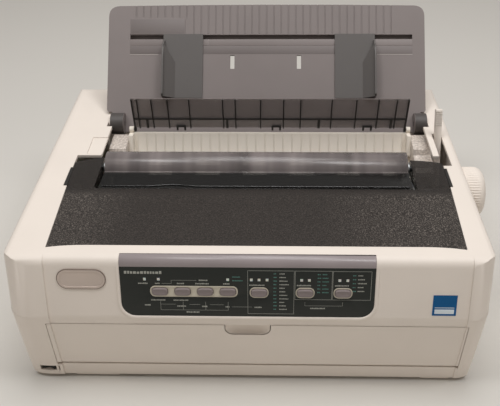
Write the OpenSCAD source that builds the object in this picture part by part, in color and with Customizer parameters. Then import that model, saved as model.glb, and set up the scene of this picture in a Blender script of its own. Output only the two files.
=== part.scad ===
// Dot matrix printer, narrow carriage: white housing, smoked top cover, clear roller cover,
// raised grey paper support, control panel, platen, print head and drive.
// Lengths in millimetres. X to the right, Y to the back, Z up; Y = 0 at the most forward
// point of the front, X = 0 at the middle of the housing, Z = 0 on the desk.

/* [Housing] */
// Width of the housing
body_w = 407; // [390:1:430]
// Depth of the housing
body_d = 332; // [326:1:350]
// Height of the deck at the front shoulder
shoulder_z = 137; // [134:1:142]
// Slope of the deck towards the back, degrees
deck_slope = 2.34; // [2:0.1:2.6]
// Thickness of the housing walls
wall = 3; // [2.5:0.1:3.4]
// How far each side leans in towards the bottom
side_taper = 8; // [4:0.5:9]
// Radius of the two front corners, seen from above
front_corner = 23; // [18:1:30]
// Radius of the two back corners, seen from above
back_corner = 12; // [6:1:16]
// How far the front of the two cheeks stands proud of the middle
cheek_step = 1; // [0.4:0.1:1.4]
// Height of the underside of the base above the desk
base_z = 4; // [3:0.5:5]
// Thickness of the base floor
floor_t = 4; // [3:0.5:5]

/* [Control panel] */
// Width of the control panel
panel_w = 208.8; // [200:1:212]
// Radius of the lower corners of the panel
panel_corner = 12; // [6:1:14]
// Thickness of the panel plate
panel_t = 1.5; // [1.2:0.1:1.7]
// Width of a button
button_w = 13; // [11:0.5:13.5]
// Height of a button
button_h = 6.8; // [5.5:0.1:7.2]
// Height of a button above the panel
button_out = 2; // [1.4:0.1:3]
// Travel of a button
button_travel = 0.8; // [0.5:0.1:1]
// Side of a lamp window
lamp = 2.2; // [1.6:0.1:2.6]

/* [Front door] */
// Width of the front door
door_w = 355; // [340:1:358]
// Height of the top edge of the door
door_top = 74; // [70:0.5:75]
// Thickness of the door
door_t = 2.5; // [2:0.1:3]
// Width of the finger notch
notch_w = 38; // [30:1:46]
// Height of the finger notch
notch_h = 12; // [8:1:16]

/* [Top cover] */
// Thickness of the smoked top cover
cover_t = 2.5; // [2:0.1:3]
// Distance of the cover's front edge from the front
cover_y = 28; // [25:0.5:32]
// Gap round the cover and the door
gap = 0.5; // [0.4:0.05:0.8]

/* [Rollers] */
// Distance of the platen and the pull-up roller from the front
roller_y = 162; // [161:0.5:163]
// Height of the platen's centre
platen_z = 110; // [109.5:0.1:110.5]
// Radius of the platen
platen_r = 16; // [14:0.5:16]
// Radius of the platen's shaft
shaft_r = 4; // [3:0.25:4.5]
// Radius of the pull-up rollers
pull_r = 8; // [6:0.5:8.5]
// Radius of the pull-up shaft
pull_shaft_r = 3; // [2:0.25:3.5]
// Radius of the clear hump over the pull-up rollers
hump_r = 16; // [15.5:0.1:16.5]
// Wall of the clear roller cover
clear_t = 1.6; // [1.2:0.1:2]
// Module of the gear teeth
gear_m = 1; // [1:0.1:1]
// Radius of the platen knob
knob_r = 25; // [20:0.5:26]
// How far the knob stands out of the side
knob_out = 22; // [20:1:30]

/* [Paper support] */
// Width of the support
support_w = 342.6; // [330:0.2:342.6]
// Length of the support above its foot
support_l = 118.7; // [100:1:122]
// Thickness of the support
support_t = 3; // [2.5:0.1:3.6]
// Lean of the raised support, degrees from upright
support_lean = 36.7; // [34:0.5:40]
// Spacing of the grooves
groove_pitch = 7.9; // [7:0.1:10]
// Length of a groove
groove_l = 31; // [20:1:31]
// Height of the fins of the paper guides
fin_h = 14; // [9:0.5:14]
// Width of the left guide
guide_left_w = 43; // [36:0.5:44]
// Width of the right guide
guide_right_w = 43; // [36:0.5:44]
// Radius of the support's two pivot bosses
boss_r = 11.2; // [9:0.1:11.2]

/* [Separator] */
// Width of the smoked separator
separator_w = 284.5; // [270:0.5:286]
// Length of the separator
separator_l = 41; // [34:0.5:42]
// Lean of the raised separator, degrees forward of upright
separator_lean = 13.5; // [11:0.5:15]

/* [Print mechanism] */
// Radius of the guide rod of the carriage
rod_r = 4; // [3:0.25:5]
// Width of the print head
head_w = 34; // [28:1:40]
// Width of the ribbon cartridge
ribbon_w = 60; // [50:1:64]
// Radius of the belt pulleys
pulley_r = 8; // [7:0.5:9]
// Height of the paper lever above the deck
lever_h = 29; // [22:1:32]

/* [Hidden] */
$fn = 48;

// Colours
white = "#f0e6dc";
grey = "#867c7a";
dark_grey = "#6b6b66";
smoke = "#4a443e";
black = "#2a2826";
charcoal = "#2e312e";
steel = "#a8aaac";
clear = "#b9b2ac";
rubber = "#33302e";

// The front, from the desk upwards: foot, door line, belly, brow and crest
half_w = body_w / 2;
cheek_w = [36.5, 21];
shoulder_y = 14;
foot_y = 16;
line_at = [2, 74.5];
belly = [1, 84.6];
fold_at = [0.6, 82];
brow = [8.2, 129.5];
crest_y = 16.5;
brow_lean = atan((brow[0] - belly[0]) / (brow[1] - belly[1]));
foot_lean = atan((foot_y - line_at[0]) / line_at[1]);
edge_r = 9;
housing_z = base_z + floor_t;

// The middle of the front lies between the two cheeks
middle_x0 = -half_w + cheek_w[0];
middle_x1 = half_w - cheek_w[1];
door_x1 = middle_x1 + 1.8;
door_x0 = door_x1 - door_w;
hinge_yz = [13.9, 21.7];
bead_r = 1.7;
sill_z = 19.3;
notch_corner = 7.5;
cup_depth = 5.5;
pin_r = 1.2;
running = 0.05;

// Rollers, gears and the knob
pull_z = platen_z + 26;
axle = [roller_y, platen_z];
pull_axle = [roller_y, pull_z];
platen_teeth = 36;
pull_teeth = 16;
pinion_teeth = 12;
gear_x = [141.5, 145.5];
plate_l = [-144, -142];
plate_r = [150.5, 152.5];
motor_arm = gear_m * (platen_teeth + pinion_teeth) / 2;
motor_at = axle + motor_arm * [sin(45), -cos(45)];
knob_x0 = half_w + 0.5;
knob_x1 = half_w + knob_out;

// The support stands on its pivot and leans back
pivot = [248, 142.5];
foot = pivot + [13, 7.5];
support_x = 12.2;
neck = support_w / 2 - 5.5;
boss_l = [-152, -138];
boss_r_x = [169.3, 181.8];
support_pin_r = 3;
recess_x = [support_x - neck - 1, max(support_x + neck, boss_r_x[1]) + 1];
recess_y = [pivot[0] - 14, body_d - 13];
recess_floor = 108;
slot_s = [80.2, 85.2];
slot_x = [support_x - 147.6, support_x + 158];
ridge_s = 63;
guide_s = [15, 80];
guide_t = 1.5;
clearance = 0.3;

// The separator's pivot lies just over the exit guide
sep_pivot = [236, 141.5];
sep_x = [16.75 - separator_w / 2, 16.75 + separator_w / 2];
strip_x = [-130.9, 163.9];

// The top cover, its hinge and the U-shaped cut round the roller cover
cover_x0 = middle_x0;
cover_x1 = middle_x1 - 3.5;
horn_l = -145;
horn_r = 153.3;
inner_y = 114;
clear_x = [-141, 149.3];

// The print mechanism
head_x = 10;
rod_at = [118, 86];
belt_y = 88;
belt_z = [70, 76];
pulley_x = [-122, 138];
head_y = roller_y - platen_r - 1;

// The middle of the whole machine, measured with the knob and the raised support
mid_x = (knob_x1 - half_w) / 2;
support_back = foot[0] + support_l * sin(support_lean) + support_t * cos(support_lean);
mid_y = max(body_d, support_back) / 2;

function deck_z(y) = shoulder_z + (y - shoulder_y) * tan(deck_slope);
// Points of a smooth bend from a to b that would meet in the corner c
function bend(a, c, b, n = 6) =
  [for (i = [0:n]) let (t = i / n) a * (1 - t) * (1 - t) + c * 2 * t * (1 - t) + b * t * t];

// ---- helpers ----

module desk() {
  translate([-mid_x, -mid_y, 0]) children();
}

module block(x, y, z) {
  translate([x[0], y[0], z[0]]) cube([x[1] - x[0], y[1] - y[0], z[1] - z[0]]);
}

// A side view (Y, Z) carried from x[0] to x[1]
module along_x(x) {
  translate([x[0], 0, 0]) rotate([90, 0, 90]) linear_extrude(x[1] - x[0]) children();
}

module rod_x(x, at, r) {
  translate([x[0], at[0], at[1]]) rotate([0, 90, 0]) cylinder(h = x[1] - x[0], r = r);
}

module rounded(w, h, r) {
  square([w - 2 * r, h], center = true);
  square([w, h - 2 * r], center = true);
  for (sx = [-1, 1], sy = [-1, 1])
    translate([sx * (w / 2 - r), sy * (h / 2 - r)]) circle(r);
}

// Side view of the housing, t inside its skin; the cheeks stand proud by p
module side_view(t, p) {
  back = body_d - t;
  polygon(concat(
    [[foot_y + t - p, 0]],
    bend(line_at + [t - p, 0], fold_at + [t - p, 0], belly + [t - p, 0], 3),
    bend(brow + [t - p, 0], [9.4 + t - p, deck_z(9.4) - t], [crest_y + t, deck_z(crest_y + t) - t]),
    bend(
      [body_d - 14, deck_z(body_d - 14) - t], [back, deck_z(body_d) - t], [back, deck_z(body_d) - 12], 4
    ),
    [[back, 0]]
  ));
}

// Front view of the housing measured down from the deck
module front_view(t) {
  side = concat(
    bend([half_w - edge_r, -t], [half_w - t, -t], [half_w - t, -edge_r], 5),
    [
      [half_w - t - side_taper * 0.2, -50], [half_w - t - side_taper * 0.55, -95],
      [half_w - t - side_taper, -140], [half_w - t - side_taper, -180]
    ]
  );
  polygon(concat(side, [for (i = [len(side) - 1:-1:0]) [-side[i][0], side[i][1]]]));
}

module plan_view(t, r, depth) {
  corner = bend([half_w - t, r], [half_w - t, t], [half_w - r, t]);
  polygon(concat(
    [[half_w - t, depth]], corner,
    [for (i = [len(corner) - 1:-1:0]) [-corner[i][0], corner[i][1]]], [[-half_w + t, depth]]
  ));
}

// The solid form of the whole housing, t inside its skin
module form(t) {
  cheek_y = fold_at[0] - cheek_step;
  far = body_d + 60;
  intersection() {
    translate([0, far, deck_z(far)]) rotate([90 + deck_slope, 0, 0]) linear_extrude(far + 80) front_view(t);
    union() {
      translate([0, cheek_y, fold_at[1]]) rotate([-brow_lean, 0, 0])
        linear_extrude(120) plan_view(t, front_corner, far);
      translate([0, cheek_y, fold_at[1]]) rotate([foot_lean, 0, 0]) translate([0, 0, -160])
        linear_extrude(160) plan_view(t, front_corner, far);
    }
    translate([0, body_d, -1]) mirror([0, 1, 0]) linear_extrude(250) plan_view(t, back_corner, far);
    union() {
      along_x([middle_x0 - 1, middle_x1 + 1]) side_view(t, 0);
      along_x([-half_w - 1, middle_x0]) side_view(t, cheek_step);
      along_x([middle_x1, half_w + 1]) side_view(t, cheek_step);
    }
  }
}

module skin(t0, t1) {
  difference() {
    form(t0);
    form(t1);
  }
}

// Places the children on the front of the panel: X, distance up the panel, outwards
module on_panel(x = 0, s = 0) {
  translate([0, belly[0], belly[1]]) rotate([90 - brow_lean, 0, 0]) translate([x, s, 0]) children();
}

// Places the children on the front of the raised support: X, distance up, outwards
module on_support() {
  translate([0, foot[0], foot[1]]) rotate([90 - support_lean, 0, 0]) children();
}

// Places the children on the raised separator, measured from its pivot
module on_separator() {
  translate([0, sep_pivot[0], sep_pivot[1]]) rotate([90 + separator_lean, 0, 0]) children();
}

module gear_outline(teeth, phase) {
  r = gear_m * teeth / 2;
  tooth = [
    [r - 1.3 * gear_m, -1.02 * gear_m], [r + 0.8 * gear_m, -0.36 * gear_m],
    [r + 0.8 * gear_m, 0.36 * gear_m], [r - 1.3 * gear_m, 1.02 * gear_m]
  ];
  circle(r - 1.1 * gear_m);
  for (i = [0:teeth - 1])
    rotate(phase + i * 360 / teeth) polygon(tooth);
}

module gear(at, teeth, phase, bore) {
  along_x(gear_x) translate(at) difference() {
    gear_outline(teeth, phase);
    circle(bore);
  }
}

// Outline of the top cover seen from above, grown by g
module cover_plan(g) {
  polygon(concat(
    [[cover_x0 - g, 24.6 - g]],
    bend([cover_x0 + 3, 25.2 - g], [cover_x0 + 16, cover_y - g], [cover_x0 + 34, cover_y - g], 4),
    bend([cover_x1 - 34, cover_y - g], [cover_x1 - 16, cover_y - g], [cover_x1 - 3, 25.2 - g], 4),
    [[cover_x1 + g, 24.6 - g], [cover_x1 + 4 + g, 120], [cover_x1 + 4.3 + g, 159]],
    bend([cover_x1 + 3 + g, 161 + g], [168, 165.5 + g], [horn_r - g, 166 + g], 3),
    [[horn_r - g, 119]],
    bend([horn_r - g, 118], [horn_r - g, inner_y + g], [horn_r - 4 - g, inner_y + g], 3),
    bend([horn_l + 4 + g, inner_y + g], [horn_l + g, inner_y + g], [horn_l + g, 118], 3),
    bend([horn_l + g, 170 + g], [-160, 168 + g], [-172 - g, 160 + g], 3)
  ));
}

function pill_x() = [-71.8, -53.1, -34.4, -15.8];
function lone_x() = [9.8, 47.5, 78.4];
button_x = concat(pill_x(), lone_x());
button_s = [23.4, 23.4, 23.4, 23.4, 22.8, 22.8, 22.8];
lamp_x = [-84, -72.6, -15.8, 3.5, 9.8, 16.3, 44.5, 50.7, 75.4, 81.9];
lamp_s = 34.4;
face_top = norm(brow - belly);

module button_shape(grow) {
  rounded(button_w + 2 * grow, button_h + 2 * grow, 2.6 + grow);
}

module panel_area(grow) {
  w = panel_w / 2 + grow;
  r = panel_corner;
  top = face_top + 1;
  outline = concat(
    [[w, top]], bend([w, r], [w, -grow], [w - r, -grow]),
    bend([-w + r, -grow], [-w, -grow], [-w, r]), [[-w, top]]
  );
  on_panel() translate([0, 0, -6]) linear_extrude(20) polygon(outline);
}

module band_area(grow) {
  block([-panel_w / 2 - grow, panel_w / 2 + grow], [-5, crest_y + grow], [brow[1], shoulder_z + 9]);
}

// ---- housing ----

foot_blocks = [[-157, -118], [154, 179]];
block_y = [17, 36];
rear_foot_y = body_d - 37;
feet = [[-137.5, 26.5], [166.5, 26.5], [-150, rear_foot_y], [150, rear_foot_y]];
foot_z = 1.2;
screw_r = 1.5;
screw_x = half_w - 17.5;
screw_y = [40, body_d - 47];
screw_at = [for (y = screw_y, sx = [-1, 1]) [sx * screw_x, y]];
switch_x = [-188.5, -172.5];
switch_z = [9.5, 16];
switch_y = 19;

module base_tray() color(white) desk() {
  difference() {
    union() {
      intersection() {
        form(0);
        block([-half_w, half_w], [-5, body_d + 5], [base_z, housing_z]);
      }
      intersection() {
        skin(0, wall);
        union() {
          block([middle_x0, middle_x1], [-5, 60], [base_z, sill_z]);
          block([door_x0 - gap, door_x1 + gap], [-5, 60], [base_z, sill_z - 0.8]);
        }
      }
      for (x = foot_blocks)
        block(x, block_y, [foot_z, base_z + 1]);
      for (p = [feet[2], feet[3]])
        translate([p[0], p[1], foot_z]) cylinder(h = base_z, r = 12);
      for (x = [-130, 50], y = [110, body_d - 26])
        translate([x, y, base_z + 1]) cylinder(h = 9, r = 3);
    }
    for (p = screw_at)
      translate([p[0], p[1], base_z - 1]) {
        cylinder(h = floor_t + 2, r = screw_r + 0.1);
        cylinder(h = 2.5, r = 3.8);
      }
    block([switch_x[0], -170], [-5, 60], switch_z);
  }
}

module rubber_feet() color(rubber) desk() {
  for (p = feet)
    translate([p[0], p[1], 0]) cylinder(h = foot_z, r = 8);
}

module housing_screws() color(steel) desk() {
  for (p = screw_at)
    translate([p[0], p[1], base_z + 0.2]) {
      cylinder(h = 1.3, r = 3.4);
      cylinder(h = 18, r = screw_r);
    }
}

module door_area(g) {
  block([door_x0 - g, door_x1 + g], [-5, 45], [housing_z - 1, door_top + g]);
}

module notch(g) {
  translate([0, 20, 0]) rotate([90, 0, 0]) linear_extrude(40) {
    translate([0, door_top - notch_h / 2 + 4]) rounded(notch_w + 2 * g, notch_h + 8 + 2 * g, notch_corner);
  }
}

module recess_walls() {
  intersection() {
    form(0.2);
    union() {
      block([recess_x[0] - 2, recess_x[0]], [recess_y[0], recess_y[1] + 2], [recess_floor - 2, 170]);
      block(recess_x + [-2, 2], [recess_y[1], recess_y[1] + 2], [recess_floor - 2, 170]);
      block([recess_x[1], recess_x[1] + 2], [recess_y[0], recess_y[1] + 2], [recess_floor - 2, 170]);
      block(recess_x + [-2, 2], [pivot[0] + 16, recess_y[1] + 2], [recess_floor - 2, recess_floor]);
    }
  }
  rod_x([recess_x[0] - 1, boss_l[0] - 0.6], pivot, 5);
  rod_x([boss_r_x[1] + 0.6, recess_x[1] + 1], pivot, 5);
}

module upper_housing() color(white) desk() {
  difference() {
    union() {
      difference() {
        form(0);
        form(wall);
        block([-half_w, half_w], [-9, body_d + 9], [-1, housing_z]);
        translate([0, 0, 120]) linear_extrude(60) cover_plan(gap);
        block([horn_l - 3, horn_r + 4], [inner_y, recess_y[0]], [120, 180]);
        block([-149, 177], [roller_y, recess_y[0]], [120, 180]);
        block([cover_x0 - 5 - gap, cover_x1 + 4.3 + gap], [150, roller_y + 12], [120, 180]);
        block(recess_x, recess_y + [-0.1, 0], [120, 180]);
      }
      recess_walls();
      intersection() {
        form(1);
        for (p = screw_at)
          translate([p[0], p[1], housing_z]) {
            cylinder(h = 22, r = 4.5);
            block([p[0] < 0 ? -12 : 0, p[0] < 0 ? 0 : 12], [-1, 1], [0, 22]);
          }
      }
      door_stop();
      intersection() {
        skin(wall - 0.5, wall + 2);
        block([door_x0, door_x1], [-5, 30], [door_top + 1, door_top + 6]);
      }
      for (x = [[door_x0 - 5, door_x0 - gap], [door_x1 + gap, door_x1 + 5]])
        block(x, [hinge_yz[0] - 2, hinge_yz[0] + 3.5], [hinge_yz[1] - 3.5, hinge_yz[1] + 3.5]);
      rod_x([184.4, half_w - 4], lever_pivot, 3);
      switch_pocket();
    }
    door_area(gap);
    difference() {
      union() {
        panel_area(0.1);
        band_area(0.1);
      }
      form(panel_t);
    }
    for (i = [0:6])
      on_panel(button_x[i], button_s[i]) translate([0, 0, -9]) linear_extrude(20) button_shape(clearance);
    difference() {
      on_panel(badge_x, badge_s) translate([0, 0, -5]) linear_extrude(20) badge_shape(0.1);
      form(0.9);
    }
    difference() {
      block([-164, -148], [177, 210], [130, 170]);
      form(0.8);
    }
    for (g = grip_areas)
      block(g[0] + [-gap, gap], g[1] + [-gap, 2 * gap], [130, 170]);
    block([183, 192], [156, 219], [120, 180]);
    rod_x([150, half_w + 5], axle, shaft_r + 1.5);
    for (x = [door_x0 - 6, door_x1 - 1])
      rod_x([x, x + 7], hinge_yz, pin_r + running);
    for (x = [[recess_x[0] - 1, boss_l[0]], [boss_r_x[1], recess_x[1] + 1]])
      rod_x(x, pivot, support_pin_r);
    block(switch_x + [0.5, -0.5], [-9, 25], switch_z);
    for (p = screw_at)
      translate([p[0], p[1], housing_z - 1]) cylinder(h = 16, r = screw_r + running);
    block(port_x, [body_d - 9, body_d + 9], port_z);
    block(usb_x, [body_d - 9, body_d + 9], usb_z);
    block(inlet_x, [body_d - 9, body_d + 9], inlet_z);
    for (i = [0:9])
      block([-170 + i * 8, -166 + i * 8], [body_d - 9, body_d + 9], [40, 80]);
  }
  translate([(switch_x[0] + switch_x[1]) / 2, switch_y, switch_z[0] - 0.5])
    cylinder(h = switch_z[1] - switch_z[0] + 1, r = 1);
}

// The strip that the door's top edge shuts against, and the cup behind the finger notch
module door_stop() {
  difference() {
    union() {
      intersection() {
        skin(wall, wall + 2);
        block([door_x0 + 20, door_x1 - 20], [-5, 30], [door_top - 3, door_top + 6]);
      }
      intersection() {
        skin(wall, wall + cup_depth + 1.5);
        block((notch_w / 2 + 5) * [-1, 1], [-5, 40], [door_top - notch_h - 4, door_top + 6]);
      }
    }
    difference() {
      block((notch_w / 2 + 3.5) * [-1, 1], [-5, 60], [door_top - notch_h - 2.5, door_top + 2]);
      form(wall + cup_depth);
    }
  }
}

// The pocket behind the opening of the power switch, with the pin that the rocker turns on
module switch_pocket() {
  intersection() {
    form(0.5);
    block(switch_x + [-1, 1], [9, 28], [housing_z, switch_z[1] + 1.5]);
  }
}

module front_door() color(white) desk() {
  difference() {
    intersection() {
      skin(0, door_t);
      block([door_x0, door_x1], [-5, 45], [hinge_yz[1], door_top]);
    }
    notch(gap);
  }
  rod_x([door_x0, door_x1], hinge_yz, bead_r);
  rod_x([door_x0 - 4, door_x1 + 4], hinge_yz, pin_r);
}

// ---- covers ----

grip_areas = [[[-173.8, -165], [119, 150]], [[180, 185.5], [119, 150]]];

module hinge_ear(t, x) {
  along_x(x) difference() {
    union() {
      translate(pull_axle) circle(6);
      polygon([
        [inner_y + 3, deck_z(inner_y + 3) - t], [inner_y + 3, 134], [150, pull_z - 6],
        [roller_y, pull_z - 6], [roller_y + 5, pull_z - 4], [roller_y + 5.5, deck_z(roller_y) - t]
      ]);
    }
    translate(pull_axle) circle(pull_shaft_r + running);
  }
}

module top_cover() color(smoke) desk() {
  intersection() {
    skin(0, cover_t);
    translate([0, 0, 120]) linear_extrude(60) cover_plan(0);
  }
  hinge_ear(cover_t - 0.5, [horn_l - 2, horn_l]);
  hinge_ear(cover_t - 0.5, [horn_r, horn_r + 2]);
}

module cover_grips() color(dark_grey) desk() {
  difference() {
    intersection() {
      skin(-0.5, 1.6);
      for (g = grip_areas)
        block(g[0], g[1], [120, 160]);
    }
    translate([0, 0, 110]) linear_extrude(70) cover_plan(0);
  }
}

// A lid switch under the left horn: bracket, body and plunger
module cover_switch() color(grey) desk() {
  block([-164, plate_l[0]], [138, 144], [110, 112]);
  block([-164, -150], [142, 144], [111, 134]);
  block([-158, -152], [112, 143], [120, 122]);
  translate([-155, 116, 121]) cylinder(h = 10, r = 4);
}

// Cross-section of the clear cover about the pull-up axle
hump_cut = [[-60, 2.9], [-10, 2.9], [0, 0], [60, 60 * tan(10)], [60, -60], [-60, -60]];

module hump_section(inner) {
  translate(pull_axle) {
    difference() {
      circle(hump_r);
      circle(inner);
      polygon(hump_cut);
    }
    polygon([
      [inner_y + gap + 0.3 - roller_y, 4.9], [2 - hump_r, 4.5], [2 - hump_r, 4.5 - clear_t],
      [inner_y + gap + 0.3 - roller_y, 4.9 - clear_t]
    ]);
  }
}

module roller_cover() color(clear) desk() {
  along_x(clear_x) hump_section(hump_r - clear_t);
  for (x = [[clear_x[0], clear_x[0] + clear_t], [clear_x[1] - clear_t, clear_x[1]]])
    along_x(x) difference() {
      union() {
        hump_section(0.1);
        translate(pull_axle) {
          circle(6);
          polygon([
            [inner_y + 1 - roller_y, 4.5], [-6, 4.5], [-3, -5], [-12, -3], [inner_y + 4 - roller_y, 1.5]
          ]);
        }
      }
      translate(pull_axle) circle(pull_shaft_r + running);
    }
}

module pull_up_shaft() color(steel) desk() {
  rod_x([horn_l - 5, horn_r + 4.5], pull_axle, pull_shaft_r);
}

module pull_up_rollers() color(rubber) desk() {
  for (x = [-112, -66, -20, 26, 72, 116])
    along_x([x - 11, x + 11]) translate(pull_axle) difference() {
      circle(pull_r);
      circle(pull_shaft_r);
    }
}

module pull_up_gear() color(white) desk() {
  gear(pull_axle, pull_teeth, 90 - 180 / pull_teeth + 180, pull_shaft_r);
}

// ---- paper support, guides and separator ----

module support_outline() {
  half = support_w / 2;
  top = support_l;
  right = concat(
    [[neck, -22], [neck, 0]], bend([half - 3, 0], [half, 0], [half, 3], 3),
    bend([half, top - 13], [half, top - 1.6], [half - 12, top - 1.2]), [[half * 0.5, top - 0.3], [0, top]]
  );
  translate([support_x, 0]) polygon(concat(
    right, [for (i = [len(right) - 2:-1:0]) [-right[i][0], right[i][1]]]
  ));
}

module paper_support() color(grey) desk() {
  difference() {
    union() {
      on_support() {
        translate([0, 0, -support_t]) linear_extrude(support_t) support_outline();
        block([slot_x[0], slot_x[0] + 60], label_s, [-0.5, 0.5]);
        for (x = [[slot_x[0], guide_home[0] - 5], [guide_home[1] + 3, slot_x[1]]])
          block(x, [ridge_s, ridge_s + 0.8], [-0.5, clearance - 0.1]);
        block(
          slot_x + channel_wall * [-1, 1], hook_s + channel_side * [-1, 1],
          [-support_t - channel_depth, -support_t + 0.5]
        );
      }
      rod_x(boss_l, pivot, boss_r);
      rod_x(boss_r_x, pivot, boss_r);
    }
    on_support() {
      for (i = [0:floor(284 / groove_pitch)])
        let (x = slot_x[0] + 5.6 + i * groove_pitch)
          block(
            [x, x + 1.4], [x < slot_x[0] + 62 ? label_s[1] + 1.5 : support_l - 1.8 - groove_l, support_l + 2.2],
            [-0.6, 1.4]
          );
      block(slot_x, slot_s, [-support_t - 0.5, 1]);
      block(
        slot_x, hook_s + (channel_side - channel_wall) * [-1, 1],
        [-support_t - channel_depth + channel_wall, -support_t]
      );
      for (x = [-26.1, 46])
        translate([x, 47.5, -support_t - 1]) cube([4.6, 15, support_t + 2]);
    }
    for (x = [boss_l, boss_r_x])
      rod_x(x + [-1, 1], pivot, support_pin_r + running);
  }
}

module support_pins() color(steel) desk() {
  rod_x([recess_x[0] - 0.5, boss_l[1] - 1], pivot, support_pin_r);
  rod_x([boss_r_x[0] + 1, recess_x[1] + 0.5], pivot, support_pin_r);
}

guide_home = [-98.8, 129.8];
hook_s = slot_s + [clearance, -clearance];
hook_t = 1.2;
hook_lip = 2;
label_s = [86, 103];
// The closed channel behind the slot, in which the hooks of the guides run
channel_wall = 1.2;
channel_side = hook_lip + 0.8 + channel_wall;
channel_depth = hook_t + 0.6 + 0.8 + channel_wall;
// The wedge of a guide: how far it reaches inwards at its foot, and where it starts to narrow
wedge_w = 13.5;
wedge_s = 52;

// A sliding paper guide with its outer edge at X = 0: plate, fin, wedge, and a hook through the slot
module guide(w) {
  fin = concat(
    [[guide_s[0], 0], [guide_s[0], fin_h - 2], [guide_s[0] + 2, fin_h]],
    bend([guide_s[0] + 38, fin_h], [guide_s[1] - 6, fin_h], [guide_s[1], 0])
  );
  block([0, w], [guide_s[0], slot_s[1] + 0.4], [0, guide_t]);
  rotate([90, 0, 90]) linear_extrude(1.8) polygon(fin);
  intersection() {
    translate([0, guide_s[1], 0]) rotate([90, 0, 0]) linear_extrude(guide_s[1] - guide_s[0])
      polygon([[1, 0.5], [1, fin_h - 2.5], [1 + wedge_w, 0.5]]);
    linear_extrude(fin_h)
      polygon([
        [1, guide_s[0]], [1 + wedge_w, guide_s[0]], [1 + wedge_w, wedge_s],
        [2, guide_s[1] - 8], [1, guide_s[1] - 8]
      ]);
  }
  block([8, w - 8], hook_s, [-support_t - 2 * clearance, 0.5]);
  block(
    [8, w - 8], hook_s + hook_lip * [-1, 1],
    [-support_t - 2 * clearance - hook_t, -support_t - 2 * clearance]
  );
}

module guide_left() color(dark_grey) desk() {
  on_support() translate([guide_home[0], 0, clearance]) guide(guide_left_w);
}

module guide_right() color(dark_grey) desk() {
  on_support() translate([guide_home[1], 0, clearance]) mirror([1, 0, 0]) guide(guide_right_w);
}

bar_s = 14;
rib_x = [-119.3, -104.5, -88, -65.7, -31.1, -18.2, 7.7, 31.4, 48.8, 80.6, 105.6, 128, 146.5];
clip_x = [-75.9, 24, 118.9];

sheet_foot = 2.6;
side_bar = 1.6;
pin_at_separator = 1.3;

module separator_sheet() color(smoke) desk() {
  on_separator()
    translate([sep_x[0], sheet_foot, -1.4]) cube([separator_w, separator_l - 1 - sheet_foot, 1.4]);
}

module separator_frame() color(black) desk() {
  top = separator_l - 1;
  on_separator() {
    linear_extrude(1.6) {
      for (x = rib_x)
        translate([x - 0.6, sheet_foot]) square([1.2, top - sheet_foot]);
      for (x = [-110.9, -27.3, 68.2, 142.9])
        translate([x - 1.2, 3]) square([2.4, bar_s - 2]);
      translate([sep_x[0], bar_s]) square([separator_w, 1.6]);
      for (x = [sep_x[0], sep_x[1] - side_bar])
        translate([x, 0]) square([side_bar, top]);
    }
    for (x = clip_x)
      translate([x - 5, 0, 0]) difference() {
        cube([10, 6, 1.6]);
        translate([2, -1, -1]) cube([6, 5, 4]);
      }
  }
  for (x = [sep_x[0], sep_x[1] - side_bar])
    rod_x([x - clearance, x + side_bar + clearance], sep_pivot, 2.2);
  for (x = [sep_x[0] - 4.5, sep_x[1] - 0.5])
    rod_x([x, x + 5], sep_pivot, pin_at_separator);
}

// ---- exit guide and its brackets ----

rib_pitch = 9.6;
guide_wall = [
  [235.4, 139], [233, 139], [226, 119], [214, 104], [200, 98], [200, 96.5], [215.5, 102.5], [228, 118.5]
];

module exit_guide() color(white) desk() {
  along_x(strip_x) polygon(guide_wall);
  for (x = [strip_x[0] + 8:rib_pitch:strip_x[1] - 8])
    along_x([x, x + 1.2]) polygon([[234, 139], [232.7, 139], [225.7, 119], [227, 119]]);
  for (x = [[strip_x[0], sep_x[0] - 0.6], [sep_x[1] + 0.6, strip_x[1]]])
    along_x(x) difference() {
      union() {
        polygon([[238, 139], [226, 139], [219, 119], [229, 119]]);
        translate(sep_pivot) circle(3.2);
      }
      translate(sep_pivot) circle(pin_at_separator + running);
    }
}

module bracket(x) {
  along_x(x)
    polygon([
      [235, 110], [235, 136], [206, 134], [204, 128], [190, 127],
      [188, 122.5], [179, 122], [179, 117], [196, 112], [204, 110]
    ]);
}

module bracket_left() color(clear) desk() {
  bracket([plate_l[0] - 4.3, strip_x[0]]);
}

module bracket_right() color(clear) desk() {
  bracket([strip_x[1], 182]);
}

// ---- control panel ----

module panel_band() color("#847b7c") desk() {
  intersection() {
    skin(0, panel_t);
    band_area(0);
  }
}

module panel_face() color(charcoal) desk() {
  difference() {
    intersection() {
      skin(0, panel_t);
      panel_area(0);
      block([-half_w, half_w], [-20, 40], [0, brow[1]]);
    }
    for (i = [0:6])
      on_panel(button_x[i], button_s[i]) translate([0, 0, -9]) linear_extrude(20) button_shape(clearance);
  }
}

module bezel(x, s, w, h, first, last) {
  on_panel(0, s) difference() {
    translate([x, 0, 0]) linear_extrude(0.6) rounded(w, h, h / 2 - 0.6);
    for (i = [first:last])
      translate([button_x[i], 0, -1]) linear_extrude(3) button_shape(clearance);
  }
}

module button_bezels() color("#b7af9f") desk() {
  bezel(
    (button_x[0] + button_x[3]) / 2, button_s[0],
    button_x[3] - button_x[0] + button_w + 3.2, button_h + 3.2, 0, 3
  );
  for (i = [4:6])
    bezel(button_x[i], button_s[i], button_w + 2.4, button_h + 2.7, i, i);
}

// A button: cap, stem and the flange that keeps it behind the wall
module button(i) {
  color("#7b7070") desk() on_panel(button_x[i], button_s[i]) {
    translate([0, 0, -7]) linear_extrude(7 + button_out) button_shape(0);
    translate([0, 0, -7]) linear_extrude(2) button_shape(1.2);
  }
}

module button_1() button(0);
module button_2() button(1);
module button_3() button(2);
module button_4() button(3);
module button_5() button(4);
module button_6() button(5);
module button_7() button(6);

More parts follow.
